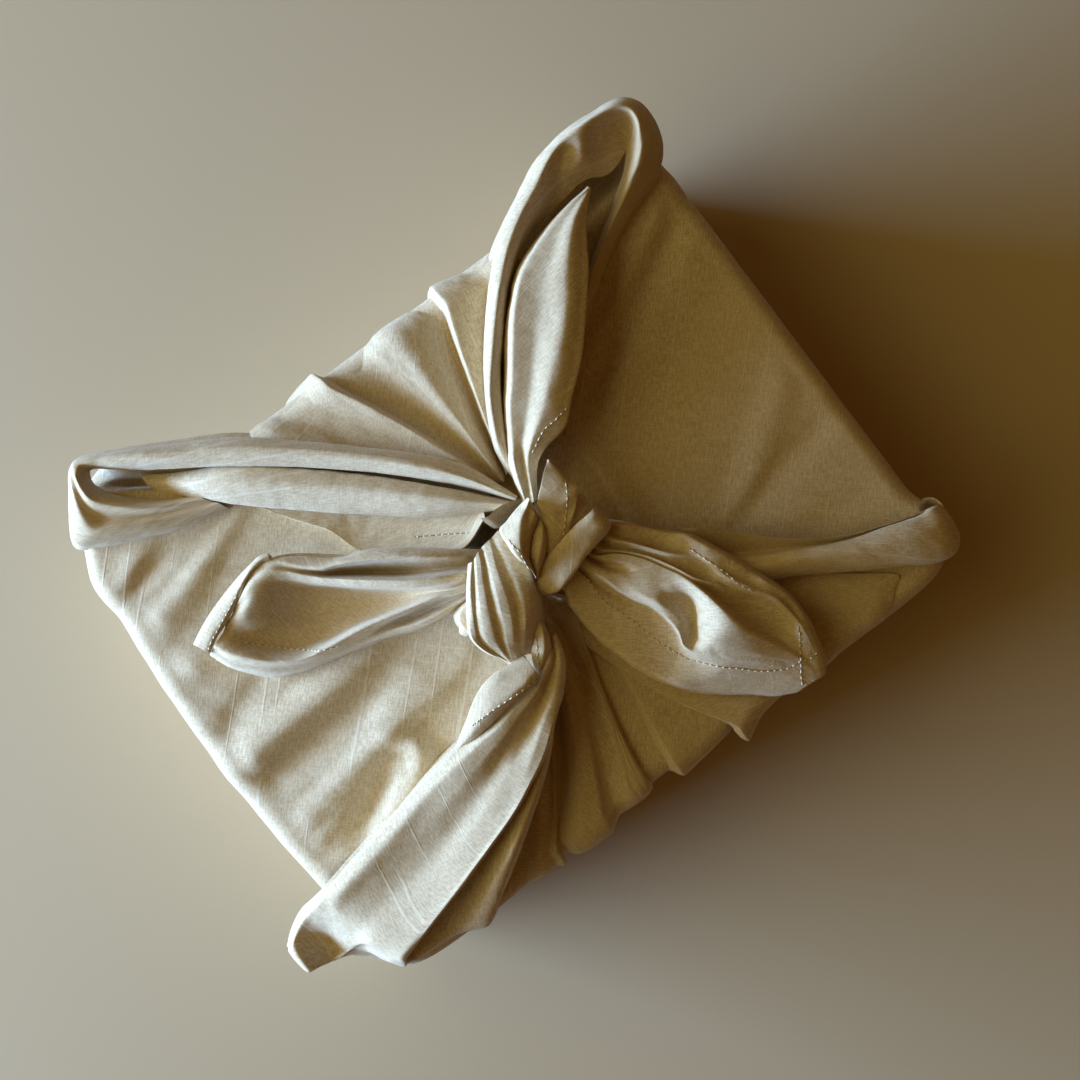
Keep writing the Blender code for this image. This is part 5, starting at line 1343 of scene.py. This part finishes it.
rows = bpy.data.objects.new("stitch_rows", stitched_rows())
bpy.context.scene.collection.objects.link(rows)
thread = thread_and_dip_shade("sewing_thread", (0.68, 0.57, 0.40, 1), (0.86, 0.77, 0.60, 1))
# painted shade: dark brown standing for the shade in the dip where the needle went in
needle_dip_shade = thread_and_dip_shade("needle_dip_painted_shade", (0.30, 0.20, 0.11, 1), (0.40, 0.29, 0.17, 1))
sewing = rows.modifiers.new("sewing", "NODES")
sewing.node_group = stitch_tree()
inputs = [item for item in sewing.node_group.interface.items_tree if item.in_out == "INPUT"]
identifiers = {item.name: item.identifier for item in inputs}
for socket, value in (
    ("Pitch", STITCH_PITCH * MM), ("Length", STITCH_LENGTH * MM), ("Width", STITCH_WIDTH * MM),
    ("Seed", 7), ("Thread", thread), ("DipShade", needle_dip_shade),
):
    sewing[identifiers[socket]] = value
made = bpy.data.meshes.new_from_object(rows.evaluated_get(bpy.context.evaluated_depsgraph_get()))
made.name = "hem_stitches"
rows.modifiers.clear()
bpy.data.objects.remove(rows)
stitches = bpy.data.objects.new("hem_stitches", made)
bpy.context.scene.collection.objects.link(stitches)
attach(stitches, "root")

# ---------------------------------------------------------------------------------------------
# The floor, the light and the camera: a plain pale floor, a soft cool light low from the left
# as from a window, a broad weak warm one over it, and the camera straight above.
# ---------------------------------------------------------------------------------------------
VIEW_HEIGHT = 0.700
VIEW_PLACE = (0.0098, 0.0019)
VIEW_WIDTH = 0.63936  # metres across the view at one metre from the lens
PLAN_TURN = Matrix(((0.8, 0.6, 0), (-0.6, 0.8, 0), (0, 0, 1))).to_4x4()
SENSOR = 36.0
AIM = Vector((0.0, 0.0, 0.07))  # the middle of the wrap's top
FLOOR_REACH = 3.0

camera_data = bpy.data.cameras.new("camera_above")
camera_data.sensor_width = SENSOR
camera_data.lens = SENSOR / VIEW_WIDTH
camera_data.clip_start = 0.01
camera = bpy.data.objects.new("camera_above", camera_data)
camera.matrix_world = Matrix.Translation((*VIEW_PLACE, VIEW_HEIGHT)) @ PLAN_TURN
bpy.context.scene.collection.objects.link(camera)
bpy.context.scene.camera = camera


def soft_light(name, place, size, power, colour):
    data = bpy.data.lights.new(name, "AREA")
    data.shape, data.size, data.size_y = "RECTANGLE", size[0], size[1]
    data.energy, data.color = power, colour
    light = bpy.data.objects.new(name, data)
    light.location = place
    light.rotation_mode = "QUATERNION"
    light.rotation_quaternion = (AIM - Vector(place)).to_track_quat("-Z", "Y")
    bpy.context.scene.collection.objects.link(light)


soft_light("window", (-1.473, 0.795, 0.365), (1.5, 0.36), 110.0, (0.35, 0.60, 1.0))
soft_light("window_low", (-1.457, 0.787, 0.452), (1.5, 0.80), 7.0, (1.0, 0.78, 0.63))
soft_light("sky", (-1.072, 0.804, 1.117), (1.6, 1.6), 10.7, (1.0, 0.91, 0.35))
bpy.context.scene.view_settings.view_transform = "Standard"
bpy.context.scene.view_settings.look = "None"

world = bpy.data.worlds.new("dim_room")
bpy.context.scene.world = world
world.use_nodes = True
background = world.node_tree.nodes["Background"]
background.inputs["Color"].default_value = (1.0, 0.48, 0.10, 1)
background.inputs["Strength"].default_value = 0.094

floor_mesh = bpy.data.meshes.new("floor")
corners = ((-1, -1), (1, -1), (1, 1), (-1, 1))
corners = [(x * FLOOR_REACH, y * FLOOR_REACH, 0) for x, y in corners]
floor_mesh.from_pydata(corners, [], [(0, 1, 2, 3)])
floor = bpy.data.objects.new("floor", floor_mesh)
bpy.context.scene.collection.objects.link(floor)
floor_paint = bpy.data.materials.new("pale_floor")
floor_nodes = Nodes(floor_paint)
floor_look = {"Base Color": (0.54, 0.42, 0.27, 1), "Roughness": 0.8}
floor_shader = floor_nodes.node("ShaderNodeBsdfPrincipled", None, floor_look)
floor_nodes.node("ShaderNodeOutputMaterial", None, {0: floor_shader.outputs[0]})
floor_mesh.materials.append(floor_paint)
